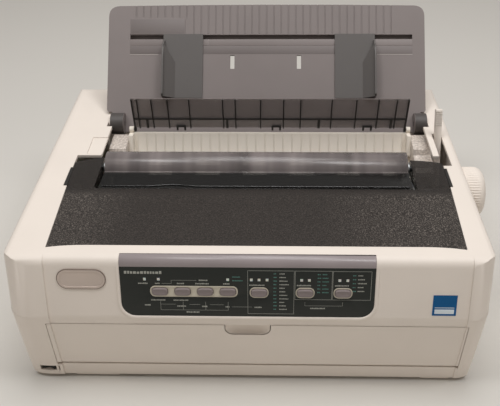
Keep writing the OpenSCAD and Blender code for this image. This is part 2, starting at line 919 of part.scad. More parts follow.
module lamp_windows() color("#d8d8d0") desk() {
  for (x = lamp_x)
    on_panel(x, lamp_s) translate([-lamp / 2, -lamp / 2, 0]) cube([lamp, lamp, 0.3]);
}

board_back = 7 + button_travel + 0.2;

module panel_board() color("#2f6b3c") desk() {
  on_panel(0, 0) {
    translate([-100, 8, -board_back - 2.4]) cube([200, 34, 1.6]);
    for (i = [0:6])
      translate([button_x[i] - 3, button_s[i] - 3, -board_back - 0.8]) cube([6, 6, 0.8]);
    for (x = [-90, 90])
      translate([x, 38, -board_back - 0.8]) cylinder(h = board_back + 0.8 - wall, r = 2.5);
  }
}

badge_x = -136.3;
badge_s = 34;

module badge_shape(grow) {
  rounded(40 + 2 * grow, 17.5 + 2 * grow, 8.4 + grow);
}

module badge_plate() color("#a09087") desk() {
  on_panel(badge_x, badge_s) translate([0, 0, -0.8]) {
    linear_extrude(1.1) badge_shape(0);
    linear_extrude(1.6) difference() {
      badge_shape(0);
      badge_shape(-2);
    }
  }
}

module front_label() color("#0e6ba8") desk() {
  on_panel(162, 12) translate([0, 0, 0.1]) linear_extrude(0.2) square([19.6, 19], center = true);
}

module power_switch() color(black) desk() {
  x = (switch_x[0] + switch_x[1]) / 2;
  half = (switch_x[1] - switch_x[0]) / 2 - 2;
  z = switch_z + [0.4, -0.4];
  translate([x, switch_y, z[0]]) rotate([0, 0, -6]) difference() {
    linear_extrude(z[1] - z[0])
      polygon([[-half, -4.5], [0, -2.5], [half, -4.5], [half - 1, 0], [0, 4], [1 - half, 0]]);
    translate([0, 0, -1]) cylinder(h = z[1] - z[0] + 2, r = 1 + running);
  }
}

// ---- lever, knob and platen ----

lever_pivot = [190, 85];
lever_x = [184.4, 190.9];
lever_lean = 19.3;

module paper_lever() color(white) desk() {
  reach = (deck_z(211) - lever_pivot[1]) / cos(lever_lean) + lever_h;
  along_x(lever_x) translate(lever_pivot) rotate(-lever_lean) difference() {
    union() {
      circle(6);
      polygon([[-3.5, 0], [3.5, 0], [3, reach - 1], [2, reach], [-2, reach], [-3, reach - 1]]);
      for (i = [0:6])
        translate([-3.6, reach - 3 - 2.2 * i]) square([1.2, 1.2]);
    }
    circle(3 + running);
  }
}

module platen_knob() color(white) desk() {
  flutes = 60;
  round_r = 9;
  difference() {
    translate([knob_x0, axle[0], axle[1]]) rotate([0, 90, 0]) rotate_extrude()
      polygon(concat(
        [[shaft_r, 0], [knob_r - 1.5, 0], [knob_r, 1.5]],
        bend([knob_r, knob_out - 0.5 - round_r], [knob_r, knob_out - 0.5], [knob_r - round_r, knob_out - 0.5], 5),
        [[shaft_r, knob_out - 0.5]]
      ));
    for (i = [0:flutes - 1])
      along_x([knob_x0 + 3, knob_x1 - 6]) translate(axle) rotate(i * 360 / flutes)
        translate([knob_r + 0.35, 0]) circle(0.9, $fn = 8);
  }
  rod_x([knob_x1 - 3, knob_x1], axle, shaft_r);
}

module platen_shaft() color(steel) desk() {
  rod_x([plate_l[0] - 4, knob_x1 - 3], axle, shaft_r);
}

module platen() color(rubber) desk() {
  along_x([-136, 140]) translate(axle) difference() {
    circle(platen_r);
    circle(shaft_r);
  }
}

module platen_gear() color(white) desk() {
  gear(axle, platen_teeth, 0, shaft_r);
}

// ---- chassis ----

plate_back = 222;

module plate_outline(notch_z, spindle_hole) {
  difference() {
    union() {
      polygon([
        [40, housing_z], [plate_back, housing_z], [plate_back, notch_z], [plate_back - 24, notch_z],
        [plate_back - 24, 111], [176, 115.5],
        [174, 124], [168, 130], [168, pull_z], [156, pull_z], [154, 128],
        [128, 100], [100, 98], [62, 62], [40, 52]
      ]);
      translate(pull_axle) circle(6);
    }
    translate(pull_axle) circle(pull_shaft_r + running);
    translate(axle) circle(shaft_r + running);
    translate(rod_at) circle(rod_r + 0.02);
    if (spindle_hole)
      translate(motor_at) circle(spindle_r + running);
    for (p = tractor_rods)
      translate(p) circle(rod_r + running);
  }
}

module side_plate_left() color(steel) desk() {
  along_x(plate_l) plate_outline(110, false);
}

module side_plate_right() color(steel) desk() {
  along_x(plate_r) plate_outline(96.5, true);
}

module guide_rod() color("#c4c6c8") desk() {
  rod_x([plate_l[0] - 1, plate_r[1] + 1], rod_at, rod_r);
}

rail_y = [128, 133];
motor_r = 17.5;
spindle_r = 2;

// The carriage rail, the belt motor's shelf, the idler's shelf and a rear cross member
module cross_frames() color(steel) desk() {
  inside = [plate_l[1], plate_r[0]];
  block(inside, rail_y, [76.2, 77.7]);
  block(inside, [rail_y[1], rail_y[1] + 1.5], [62, 77.7]);
  difference() {
    block([pulley_x[1] - 22, plate_r[0]], [belt_y - 20, belt_y + 20], [66, 67.5]);
    translate([pulley_x[1], belt_y, 60]) cylinder(h = 20, r = 3);
  }
  block([plate_l[1], pulley_x[0] + 14], [belt_y - 14, belt_y + 14], [66, 67.5]);
  translate([pulley_x[0], belt_y, 67.5]) cylinder(h = 9.5, r = 2);
  block(inside, [plate_back - 17, plate_back - 15.5], [40, 90]);
}

module feed_motor() color("#5c5d60") desk() {
  difference() {
    rod_x([plate_r[1], plate_r[1] + 22], motor_at, motor_r);
    rod_x([plate_r[1] - 1, plate_r[1] + 9], motor_at, spindle_r + running);
  }
}

// The pinion on its spindle, which turns in a hole of the side plate
module motor_pinion() color("#c9a24a") desk() {
  along_x(gear_x) translate(motor_at) gear_outline(pinion_teeth, 180 / pinion_teeth);
  rod_x([gear_x[0], plate_r[1] + 8], motor_at, spindle_r);
}

module carriage() color(dark_grey) desk() {
  difference() {
    block([head_x - 25, head_x + 25], [98, 140], [78, 97]);
    rod_x([head_x - 30, head_x + 30], rod_at, rod_r + running);
  }
  for (y = [belt_y + pulley_r + 1.6, belt_y + pulley_r - 2.4])
    block([head_x - 6, head_x + 6], [y, y + 2], [belt_z[0], 79]);
  block([head_x - 8, head_x + 8], [belt_y + pulley_r - 2.4, 99], [78, 84]);
}

module print_head() color("#3a3b3e") desk() {
  for (i = [0:6])
    block([head_x - head_w / 2, head_x + head_w / 2], [106 + i * 4, 108.5 + i * 4], [97, 121]);
  block([head_x - head_w / 2 + 3, head_x + head_w / 2 - 3], [107, 136], [97, 119]);
  translate([head_x, 132, platen_z]) rotate([-90, 0, 0]) cylinder(h = 6, r = 9);
  block([head_x - 5, head_x + 5], [134, head_y - 0.6], [platen_z - 7, platen_z + 6]);
}

module ribbon_cartridge() color(black) desk() {
  difference() {
    block([head_x - ribbon_w / 2, head_x + ribbon_w / 2], [98, 132], [121, ribbon_top]);
    translate([ribbon_knob_at[0], ribbon_knob_at[1], ribbon_top - 5]) cylinder(h = 9, r = 2 + running);
  }
  for (sx = [-1, 1])
    translate([head_x + sx * 24, 0, 0]) block([-3, 3], [131, head_y - 1.8], [106, 127]);
  block([head_x - 24, head_x + 24], [head_y - 0.5, head_y - 0.1], [platen_z - 5, platen_z + 7]);
  for (sx = [-1, 1])
    translate([head_x + sx * 24, 0, 0])
      block([-2.5, 2.5], [head_y - 1.9, head_y - 0.3], [platen_z - 4, platen_z + 6]);
}

ribbon_top = 132.5;
ribbon_knob_at = [head_x + 16, 112];

module ribbon_knob() color("#3a6fb0") desk() {
  translate([ribbon_knob_at[0], ribbon_knob_at[1], ribbon_top + clearance]) {
    difference() {
      cylinder(h = 2.6, r = 7);
      for (i = [0:11])
        rotate(i * 30) translate([7.4, 0, -1]) cylinder(h = 5, r = 1);
    }
    translate([0, 0, -5]) cylinder(h = 6, r = 2);
  }
}

module belt_loop(r) {
  translate([pulley_x[0], belt_y]) circle(r);
  translate([pulley_x[1], belt_y]) circle(r);
  translate([pulley_x[0], belt_y - r]) square([pulley_x[1] - pulley_x[0], 2 * r]);
}

module drive_belt() color(black) desk() {
  translate([0, 0, belt_z[0]]) linear_extrude(belt_z[1] - belt_z[0]) difference() {
    belt_loop(pulley_r + 1.3);
    belt_loop(pulley_r + 0.1);
  }
}

module belt_motor() color("#5c5d60") desk() {
  translate([pulley_x[1], belt_y, 32]) difference() {
    cylinder(h = 34, r = 12);
    translate([0, 0, 24]) cylinder(h = 20, r = 2 + running);
  }
}

module pulley(bore) {
  difference() {
    union() {
      translate([0, 0, belt_z[0] - 0.2]) cylinder(h = belt_z[1] - belt_z[0] + 0.4, r = pulley_r);
      translate([0, 0, belt_z[0] - 1.4]) cylinder(h = 1.2, r = pulley_r + 2);
      translate([0, 0, belt_z[1] + 0.2]) cylinder(h = 1, r = pulley_r + 2);
    }
    translate([0, 0, 60]) cylinder(h = 30, r = bore);
  }
}

module belt_pulley() color("#d8d0c0") desk() {
  translate([pulley_x[1], belt_y, 0]) {
    pulley(2);
    translate([0, 0, 57]) cylinder(h = 20.2, r = 2);
  }
}

module idler_pulley() color("#d8d0c0") desk() {
  translate([pulley_x[0], belt_y, 0]) pulley(2 + running);
}

// ---- tractors behind the front door ----

tractor_rods = [[50, 34], [66, 44]];
tractor_x = [-90, 95];

module tractor(x) {
  along_x([x, x + 20]) difference() {
    polygon([[34, 34], [38, 25], [46, 21.5], [74, 29], [81, 37], [80, 48], [73, 56], [62, 56.5], [40, 49]]);
    for (p = tractor_rods)
      translate(p) circle(rod_r + running);
  }
  for (i = [0:4])
    translate([x + 6, 44 + i * 6, 49.5 + i * 1.2]) cylinder(h = 3, r = 1.6);
  block([x + 11, x + 19], [42, 70], [51, 57]);
}

module tractor_left() color(dark_grey) desk() tractor(tractor_x[0]);

module tractor_right() color(dark_grey) desk() tractor(tractor_x[1]);

module tractor_shaft() color(steel) desk() {
  for (p = tractor_rods)
    rod_x([plate_l[0] - 2, plate_r[1] + 2], p, rod_r);
}

// ---- electronics ----

board_x = [-138, 60];
board_z = [base_z + 10, base_z + 11.6];
port_x = [-70, -8];
port_z = [22, 40];
usb_x = [-100, -86];
usb_z = [24, 36];
inlet_x = [132, 160];
inlet_z = [24, 48];
unit_x = [inlet_x[0] - 62, inlet_x[1] + 16];

module main_board() color("#2f6b3c") desk() {
  block(board_x, [104, body_d - wall - 6], board_z);
  for (x = [-110, -60, -10], y = [130, 190, 240])
    block([x, x + 24], [y, y + 24], [board_z[1], board_z[1] + 3]);
  for (x = [-120, -90, -30, 20])
    translate([x, body_d - 52, board_z[1]]) cylinder(h = 16, r = 6);
  shell_port(port_x, port_z);
  shell_port(usb_x, usb_z);
}

module shell_port(x, z) {
  difference() {
    block(x, [body_d - 16, body_d], z);
    block(x + [1.5, -1.5], [body_d - 11, body_d + 1], z + [1.5, -1.5]);
  }
  block(x + [4, -4], [body_d - 12, body_d - 3], [(z[0] + z[1]) / 2 - 1.5, (z[0] + z[1]) / 2 + 1.5]);
  block(x + [2, -2], [body_d - 16, body_d - 10], [board_z[1], z[0] + 0.5]);
}

module power_unit() color("#9a9c9e") desk() {
  difference() {
    block(unit_x, [plate_back + 4, body_d - wall - 0.2], [housing_z, 62]);
    block(inlet_x, [body_d - 24, body_d + 9], inlet_z);
  }
  difference() {
    block(inlet_x, [body_d - 24, body_d], inlet_z);
    block(inlet_x + [3, -3], [body_d - 16, body_d + 1], inlet_z + [3, -3]);
  }
  for (x = [-7, 0, 7])
    block(
      (inlet_x[0] + inlet_x[1]) / 2 * [1, 1] + [x - 1, x + 1], [body_d - 17, body_d - 3], [34.5, 38.5]
    );
}

base_tray();
rubber_feet();
upper_housing();
housing_screws();
front_door();
top_cover();
cover_grips();
cover_switch();
roller_cover();
pull_up_shaft();
pull_up_rollers();
pull_up_gear();
paper_support();
support_pins();
guide_left();
guide_right();
separator_sheet();
separator_frame();
exit_guide();
bracket_left();
bracket_right();
panel_band();
panel_face();
button_bezels();
button_1();
button_2();
button_3();
button_4();
button_5();
button_6();
button_7();
lamp_windows();
panel_board();
badge_plate();
front_label();
power_switch();
paper_lever();
platen_knob();
platen_shaft();
platen();
platen_gear();
side_plate_left();
side_plate_right();
cross_frames();
guide_rod();
feed_motor();
motor_pinion();
carriage();
print_head();
ribbon_cartridge();
ribbon_knob();
drive_belt();
belt_motor();
belt_pulley();
idler_pulley();
tractor_left();
tractor_right();
tractor_shaft();
main_board();
power_unit();
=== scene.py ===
"""Finishes a narrow-carriage dot matrix printer: moulded housing, smoked and clear covers, paper support,
control panel, knob and mechanism. Places are real millimetres, counted from the middle of the housing (X),
its front (Y) and the desk (Z), and millimetres() turns them into the metres of the frame."""

import math

import bmesh
import bpy
import numpy as np
from mathutils import Matrix, Vector


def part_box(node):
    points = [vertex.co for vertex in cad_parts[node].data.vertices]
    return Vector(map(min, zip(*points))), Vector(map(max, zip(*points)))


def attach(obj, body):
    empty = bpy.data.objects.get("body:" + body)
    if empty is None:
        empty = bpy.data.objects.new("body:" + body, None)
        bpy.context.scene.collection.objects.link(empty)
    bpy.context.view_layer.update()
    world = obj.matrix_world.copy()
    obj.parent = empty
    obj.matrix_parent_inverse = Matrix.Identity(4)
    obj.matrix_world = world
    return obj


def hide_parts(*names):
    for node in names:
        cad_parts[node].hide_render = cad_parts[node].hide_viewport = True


bl_info = {
    "name": "Dot Matrix Printer",
    "version": (1, 0, 0),
    "blender": (4, 5, 0),
    "location": "3D View > Sidebar > Printer",
    "description": "Dresses the frame of a dot matrix printer with its shells, marks and materials",
    "category": "Add Mesh",
}

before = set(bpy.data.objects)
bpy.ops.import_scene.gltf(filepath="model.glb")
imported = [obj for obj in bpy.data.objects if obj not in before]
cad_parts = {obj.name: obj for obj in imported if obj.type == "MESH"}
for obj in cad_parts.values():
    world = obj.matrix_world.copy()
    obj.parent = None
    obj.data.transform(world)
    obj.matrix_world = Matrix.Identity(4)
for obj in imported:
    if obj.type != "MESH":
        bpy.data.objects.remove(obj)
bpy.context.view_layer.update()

# ---- places, in millimetres ----

MM = 1000.0  # millimetres in a metre
HOUSING_DEPTH = 332.0
HOUSING_LOW, HOUSING_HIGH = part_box("upper_housing")
MIDDLE_X = (HOUSING_LOW.x + HOUSING_HIGH.x) / 2
FRONT_Y = HOUSING_HIGH.y - HOUSING_DEPTH / MM


def millimetres(points):
    """Real millimetres of the machine, as an array of points, in the metres of the frame."""
    points = np.asarray(points, float)
    return points / MM + np.array([MIDDLE_X, FRONT_Y, 0.0])


def points_at(x, y, z):
    """The points of three coordinates in millimetres, each a number or an array that fits the others."""
    return millimetres(np.stack(np.broadcast_arrays(x, y, z), axis=-1))


class Plane:
    """A flat face of the machine: its foot (Y, Z), and the directions along it, up it and out of it."""

    def __init__(self, foot, lean_degrees):
        lean = math.radians(lean_degrees)
        self.foot = np.array([0.0, *foot])
        self.along = np.array([1.0, 0.0, 0.0])
        self.up = np.array([0.0, math.sin(lean), math.cos(lean)])
        self.out = np.array([0.0, -math.cos(lean), math.sin(lean)])

    def at(self, x, up, out):
        """The points at x, so far up the face and so far out of it, in the metres of the frame."""
        x, up, out = (np.asarray(v, float)[..., None] for v in np.broadcast_arrays(x, up, out))
        return millimetres(self.foot + x * self.along + up * self.up + out * self.out)


PANEL = Plane((1.0, 84.6), 9.11)
SUPPORT = Plane((261.0, 150.0), 36.7)
SUPPORT_PIVOT = (248.0, 142.5)
KNOB_AXLE = (162.0, 110.0)
BOARD_TOP = 15.8
SOCKETS_FROM = HOUSING_DEPTH - 16.5
BEYOND = 1000.0  # past every part of the machine


# ---- surfaces ----

def grid(points, around=False, closed=False):
    """The faces of a surface given as rows and columns of points. around joins the last column to the first,
    and closed fills the first and the last row with one face each."""
    rows, columns = points.shape[:2]
    index = np.arange(rows * columns).reshape(rows, columns)
    if around:
        index = np.concatenate([index, index[:, :1]], axis=1)
    quads = np.stack([index[:-1, :-1], index[:-1, 1:], index[1:, 1:], index[1:, :-1]], axis=-1)
    faces = quads.reshape(-1, 4).tolist()
    if closed:
        faces.append(index[0, :columns][::-1].tolist())
        faces.append(index[-1, :columns].tolist())
    return points.reshape(-1, 3), faces


def join(*parts):
    """Several surfaces as one: the points follow each other and the faces count on."""
    points, faces, count = [], [], 0
    for part_points, part_faces in parts:
        points.append(part_points)
        faces += [[i + count for i in face] for face in part_faces]
        count += len(part_points)
    return np.concatenate(points), faces


def piece(name, surface, material, body, smooth_degrees=35, replaces=()):
    """An object made of a surface, shaded smooth up to an angle, that rides on a body of the frame."""
    points, faces = surface
    mesh = bpy.data.meshes.new(name)
    mesh.from_pydata(points, [], faces)
    mesh.validate()
    made = bpy.data.objects.new(name, mesh)
    bpy.context.scene.collection.objects.link(made)
    outwards(mesh)
    mesh.materials.append(made_of(material))
    shade(made, smooth_degrees)
    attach(made, body)
    if replaces:
        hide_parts(*replaces)


def outwards(mesh):
    """Turns the faces of a closed mesh outwards."""
    work = bmesh.new()
    work.from_mesh(mesh)
    bmesh.ops.recalc_face_normals(work, faces=work.faces)
    work.to_mesh(mesh)
    work.free()


def shade(made, degrees):
    """Smooth shading, with every edge sharper than the angle split."""
    made.data.polygons.foreach_set("use_smooth", np.ones(len(made.data.polygons), bool))
    split = made.modifiers.new("sharp_edges", "EDGE_SPLIT")
    split.split_angle = math.radians(degrees)


def arc(centre, radius, start_degrees, end_degrees, count):
    """Points on a circle: the centre plus the radius times the cosine and sine of evenly spaced angles."""
    angle = np.radians(np.linspace(start_degrees, end_degrees, count))
    return np.stack([centre[0] + radius * np.cos(angle), centre[1] + radius * np.sin(angle)], axis=-1)


def rounded_outline(width, height, radius, count=8):
    """A rectangle with round corners about the origin: four quarter circles, counter-clockwise."""
    w, h = width / 2 - radius, height / 2 - radius
    corners = [((w, -h), -90), ((w, h), 0), ((-w, h), 90), ((-w, -h), 180)]
    return np.concatenate([arc(c, radius, a, a + 90, count) for c, a in corners])


def plate(plane, x, up, out, edge=0.1):
    """A thin plate on a plane, between two values of x, of height up the plane and of height out of it. Its
    corners are round, and its top edge rolls in by a quarter circle: a ring is the outline moved in by
    roll (1 - cos a), and stands at the top less roll (1 - sin a)."""
    outline = rounded_outline(x[1] - x[0], up[1] - up[0], edge, 2)
    roll = min(edge, (out[1] - out[0]) / 2)
    turn = np.radians([0, 45, 90])
    inset = np.concatenate([[0.0], roll * (1 - np.cos(turn))])
    level = np.concatenate([[out[0]], out[1] - roll + roll * np.sin(turn)])
    scale = 1 - inset[:, None] / np.abs(outline).max(axis=0)
    ring = outline * scale[:, None, :] + [(x[0] + x[1]) / 2, (up[0] + up[1]) / 2]
    return grid(plane.at(ring[..., 0], ring[..., 1], level[:, None]), around=True, closed=True)


def turned(profile, axle, count, dip=0.0):
    """A turned part about an axle along X: the profile's (x, radius) carried round a circle. The dip, by
    point of the profile and angle, is how far the radius falls short there."""
    angle = np.linspace(0, 2 * np.pi, count, endpoint=False)
    x, radius = np.asarray(profile, float).T[..., None]
    y = axle[0] + (radius - dip) * np.cos(angle)
    z = axle[1] + (radius - dip) * np.sin(angle)
    return grid(points_at(x, y, z), around=True, closed=True)


def bar(x, y, z, radius):
    """A thin bar along X: at each x a ring of eight points about (y, z), where y may change with x."""
    ring = arc((0.0, 0.0), radius, 0, 360, 9)[:-1]
    y = np.broadcast_to(y, x.shape)
    return grid(points_at(x[:, None], y[:, None] + ring[:, 0], z + ring[:, 1]), around=True, closed=True)


def bead(path, radius):
    """A round bead along a closed flat path of points: each ring is a point of the path plus the radius
    times cos a away from the line in the path's plane, and times sin a along the plane's normal."""
    tangent = np.roll(path, -1, axis=0) - np.roll(path, 1, axis=0)
    tangent /= np.linalg.norm(tangent, axis=1, keepdims=True)
    normal = np.cross(tangent[0], tangent[len(path) // 4])
    normal /= np.linalg.norm(normal)
    side = np.cross(tangent, normal)
    side /= np.linalg.norm(side, axis=1, keepdims=True)
    angle = np.linspace(0, 2 * np.pi, 8, endpoint=False)
    ring = side[:, None] * np.cos(angle)[None, :, None] + normal * np.sin(angle)[None, :, None]
    points = path[:, None] + ring * radius / MM
    return grid(np.concatenate([points, points[:1]]), around=True)


# ---- materials ----

def linear(code):
    """The linear colour of an sRGB hex code."""
    value = np.array([int(code[i:i + 2], 16) for i in (0, 2, 4)]) / 255
    return (*np.where(value > 0.04045, ((value + 0.055) / 1.055) ** 2.4, value / 12.92), 1.0)


def shaded(colour, factor):
    """A colour made lighter or darker by a factor."""
    return (*(min(1.0, c * factor) for c in colour[:3]), 1.0)


def connect(node, inputs):
    """Fills a node's sockets, given by name or number, or in their order as a plain row. A socket is linked,
    a node is linked by its first output, and anything else is the socket's value."""
    for name, value in inputs.items() if isinstance(inputs, dict) else enumerate(inputs):
        if isinstance(value, bpy.types.Node):
            value = value.outputs[0]
        if isinstance(value, bpy.types.NodeSocket):
            node.id_data.links.new(value, node.inputs[name])
        else:
            node.inputs[name].default_value = value


def add(tree, kind, inputs=(), **settings):
    """Adds a node with its settings, its values and its incoming links."""
    node = tree.nodes.new(kind)
    for name, value in settings.items():
        setattr(node, name, value)
    connect(node, inputs)
    return node


def pattern(tree, kind, place, size_mm, inputs=None):
    """A texture of any kind whose features are so many millimetres apart: its scale is per metre."""
    return add(tree, kind, {"Vector": place, "Scale": MM / size_mm, **(inputs or {})})


def two_tone(tree, factor, spread, colour, tones):
    """A colour from one tone to the other, as the factor goes from one end of the spread to the other."""
    share = add(tree, "ShaderNodeMapRange", (factor, *spread))
    mix = {0: share, 6: shaded(colour, tones[0]), 7: shaded(colour, tones[1])}
    return add(tree, "ShaderNodeMix", mix, data_type="RGBA").outputs[2]


def start(name):
    """A new material's tree, its shader and the Object coordinates that every pattern reads."""
    material = bpy.data.materials.new(name)
    material.use_nodes = True
    tree = material.node_tree
    place = add(tree, "ShaderNodeTexCoord").outputs["Object"]
    return tree, tree.nodes["Principled BSDF"], place


def place_mm(tree, place, axis):
    """One coordinate of the place, in real millimetres of the machine: the frame's, moved and scaled."""
    value = add(tree, "ShaderNodeSeparateXYZ", (place,)).outputs[axis]
    shift = {"X": -MIDDLE_X, "Y": -FRONT_Y, "Z": 0.0}[axis]
    moved = add(tree, "ShaderNodeMath", (value, shift), operation="ADD")
    return add(tree, "ShaderNodeMath", (moved, MM), operation="MULTIPLY")


def grained(name, colour, tones, cloud, fine, sockets, roughness=None, depth_mm=0.0, edge_mm=0.0,
            spread=(0.3, 0.7), stretch=None):
    """What the plain finishes share. A cloud, given by its size in millimetres and its detail, carries the
    colour from one tone to the other. A fine grain, given likewise and drawn out by stretch, carries the
    roughness and stands out by depth_mm. With edge_mm the normals turn across a sharp edge as if it were
    rounded off by that much. The sockets hold what is the same all over."""
    tree, shader, place = start(name)
    drawn = add(tree, "ShaderNodeMapping", {"Vector": place, "Scale": stretch}) if stretch else place
    cloud, fine = (
        pattern(tree, "ShaderNodeTexNoise", where, size_mm, {"Detail": detail})
        for where, (size_mm, detail) in ((place, cloud), (drawn, fine))
    )
    connect(shader, {"Base Color": two_tone(tree, cloud, spread, colour, tones), **sockets})
    if roughness:
        connect(shader, {"Roughness": add(tree, "ShaderNodeMapRange", (fine, 0.0, 1.0, *roughness))})
    if depth_mm:
        bump = {"Height": fine, "Distance": depth_mm / MM}
        if edge_mm:
            bump["Normal"] = add(tree, "ShaderNodeBevel", {"Radius": edge_mm / MM}, samples=4)
        connect(shader, {"Normal": add(tree, "ShaderNodeBump", bump)})


def moulded(name, colour, roughness, grain_mm=0.9, depth_mm=0.03, mottle=0.03, edge_mm=0.0, tone=1.0):
    """Injection moulded plastic from a spark-eroded tool. The tool leaves an even fine grain, drawn coarser
    than its real 0.1 mm so that it shows, with a faint cloudiness in colour and gloss."""
    grained(
        name, shaded(colour, tone), (1 - mottle, 1 + mottle), cloud=(45.0, 2.0), fine=(grain_mm, 3.0),
        roughness=(roughness - 0.08, roughness + 0.08), depth_mm=depth_mm, edge_mm=edge_mm,
        sockets={"IOR": 1.5, "Specular IOR Level": 0.4},
    )


def satin_film(name, colour, roughness, metallic=0.0, specular=0.5):
    """Polyester film, printed ink or satin paint: even and flat, with a fine orange-peel in its gloss."""
    grained(
        name, colour, (0.95, 1.05), cloud=(30.0, 2.0), fine=(1.6, 2.0),
        roughness=(roughness - 0.06, roughness + 0.06), depth_mm=0.012,
        sockets={"IOR": 1.5, "Metallic": metallic, "Specular IOR Level": specular},
    )


def metal(name, colour, roughness, line_mm, stretch=(0.02, 1.0, 1.0)):
    """Drawn, ground or rolled metal. Lines run along the way that it was worked, drawn coarser than their
    real 0.05 mm so that they show."""
    grained(
        name, colour, (0.9, 1.05), cloud=(20.0, 2.0), fine=(line_mm, 3.0),
        roughness=(roughness - 0.1, roughness + 0.12), depth_mm=0.02, stretch=stretch,
        sockets={"Metallic": 1.0},
    )


def ground_rubber(name, colour):
    """Nitrile rubber, ground on a lathe: dull, with a velvety grain, and a little paper dust in clouds."""
    grained(
        name, colour, (1.0, 1.5), cloud=(14.0, 3.0), fine=(0.8, 4.0), roughness=(0.62, 0.85),
        depth_mm=0.05, spread=(0.45, 0.8), sockets={"IOR": 1.5, "Sheen Weight": 0.15},
    )


def smoked_sheet(name, colour, alpha):
    """Smoked polycarbonate, moulded smooth: see-through, with a faint cloudiness in its gloss."""
    grained(
        name, colour, (0.92, 1.08), cloud=(25.0, 2.0), fine=(25.0, 2.0), roughness=(0.14, 0.24),
        sockets={"IOR": 1.5, "Alpha": alpha},
    )


def frosted_lamp(name, colour):
    """The frosted window of a small lamp that is off: milky, with a fine grain in colour and gloss."""
    grained(
        name, colour, (0.9, 1.1), cloud=(0.6, 2.0), fine=(0.6, 2.0), roughness=(0.3, 0.5),
        sockets={"IOR": 1.5, "Subsurface Weight": 0.3, "Subsurface Scale": 0.001},
    )


def matt_paper(name, colour):
    """Uncoated paper of a studio floor: dull, and very faintly cloudy."""
    grained(name, colour, (0.99, 1.0), cloud=(300.0, 2.0), fine=(300.0, 2.0), sockets={"Roughness": 0.85})


def etched_smoke(name, colour):
    """Smoked polycarbonate of the top cover. Its top is etched in small pits, drawn coarser so that they
    show, and carries pale painted glints, painted highlights that are more at both sides. The two arms behind
    are left smooth and let through what lies under them."""
    pit_mm, speck_mm, painted_glint_mm = 1.7, 1.1, 1.0
    edge_mm, pit_depth_mm, speck_depth_mm = 0.4, 0.2, 0.1
    arms = (108.0, 116.0)
    tree, shader, place = start(name)
    back, across = place_mm(tree, place, "Y"), place_mm(tree, place, "X")
    pits = pattern(tree, "ShaderNodeTexVoronoi", place, pit_mm)
    specks = pattern(tree, "ShaderNodeTexNoise", place, speck_mm, {"Detail": 3.0})
    painted_glint_noise = pattern(tree, "ShaderNodeTexNoise", place, painted_glint_mm, {"Detail": 3.0})
    # Each step is (value, start, end, what it gives before, what it gives after).
    painted_glint, left, right, before_arms, roughness, alpha = (
        add(tree, "ShaderNodeMapRange", step, interpolation_type="SMOOTHSTEP")
        for step in (
            (painted_glint_noise, 0.48, 0.7, 0.0, 1.0),
            (across, -150.0, -100.0, 0.5, 0.12),
            (across, 20.0, 150.0, 0.0, 0.5),
            (back, 100.0, 112.0, 1.0, 0.0),
            (back, *arms, 0.36, 0.2),
            (back, *arms, 0.97, 0.8),
        )
    )
    # The painted glints: pale spots of painted highlight, strongest at the left and right sides, and none on
    # the arms.
    side = add(tree, "ShaderNodeMath", (left, right), operation="MAXIMUM")
    side = add(tree, "ShaderNodeMath", (side, before_arms), operation="MULTIPLY")
    painted_glint = add(tree, "ShaderNodeMath", (painted_glint, side), operation="MULTIPLY")
    speck = two_tone(tree, specks, (0.36, 0.72), colour, (0.6, 1.9))
    # Where the painted glints fall, the colour turns to a pale painted highlight.
    mix = {0: painted_glint, 6: speck, 7: linear("a89e95")}
    tone = add(tree, "ShaderNodeMix", mix, data_type="RGBA").outputs[2]
    edges = add(tree, "ShaderNodeBevel", {"Radius": edge_mm / MM}, samples=4)
    pits = add(tree, "ShaderNodeBump", {"Height": pits, "Distance": pit_depth_mm / MM, "Normal": edges})
    relief = add(tree, "ShaderNodeBump", {"Height": specks, "Distance": speck_depth_mm / MM, "Normal": pits})
    connect(shader, {"Base Color": tone, "Roughness": roughness, "Alpha": alpha, "Normal": relief})
    connect(shader, {"IOR": 1.5, "Specular IOR Level": 0.3})


def frosted_clear(name, colour):
    """Clear polycarbonate of the roller cover: the hump over the rollers is frosted grey, painted lighter and
    darker in bands across it, which are painted highlights over the rollers under it. The flat part before it
    is painted near black, a painted shade of the dark inside of the machine, and lets a little of the inside
    show through."""
    painted_band_mm, haze_mm, grain_mm, depth_mm = 26.0, 16.0, 1.2, 0.02
    hump = (143.0, 148.0)
    tree, shader, place = start(name)
    back, across = place_mm(tree, place, "Y"), place_mm(tree, place, "X")
    # The hump's bands are painted highlights, lighter and darker across it.
    along = add(tree, "ShaderNodeMath", (across, painted_band_mm), operation="DIVIDE")
    painted_bands = add(tree, "ShaderNodeTexNoise", {"W": along, "Scale": 1.0}, noise_dimensions="1D")
    haze = pattern(tree, "ShaderNodeTexNoise", place, haze_mm)
    fine = pattern(tree, "ShaderNodeTexNoise", place, grain_mm)
    frosted = two_tone(tree, painted_bands, (0.32, 0.68), colour, (0.7, 1.5))
    on_hump, alpha = (
        add(tree, "ShaderNodeMapRange", (back, *hump, before, after), interpolation_type="SMOOTHSTEP")
        for before, after in ((0.0, 1.0), (0.82, 0.76))
    )
    # Before the hump the colour is near black: a painted shade of the inside of the machine.
    mix = {0: on_hump, 6: linear("0d0b0a"), 7: frosted}
    tone = add(tree, "ShaderNodeMix", mix, data_type="RGBA").outputs[2]
    roughness = add(tree, "ShaderNodeMapRange", (haze, 0.0, 1.0, 0.16, 0.3))
    relief = add(tree, "ShaderNodeBump", {"Height": fine, "Distance": depth_mm / MM})
    connect(shader, {"Base Color": tone, "Roughness": roughness, "Alpha": alpha, "Normal": relief})
    connect(shader, {"IOR": 1.5})


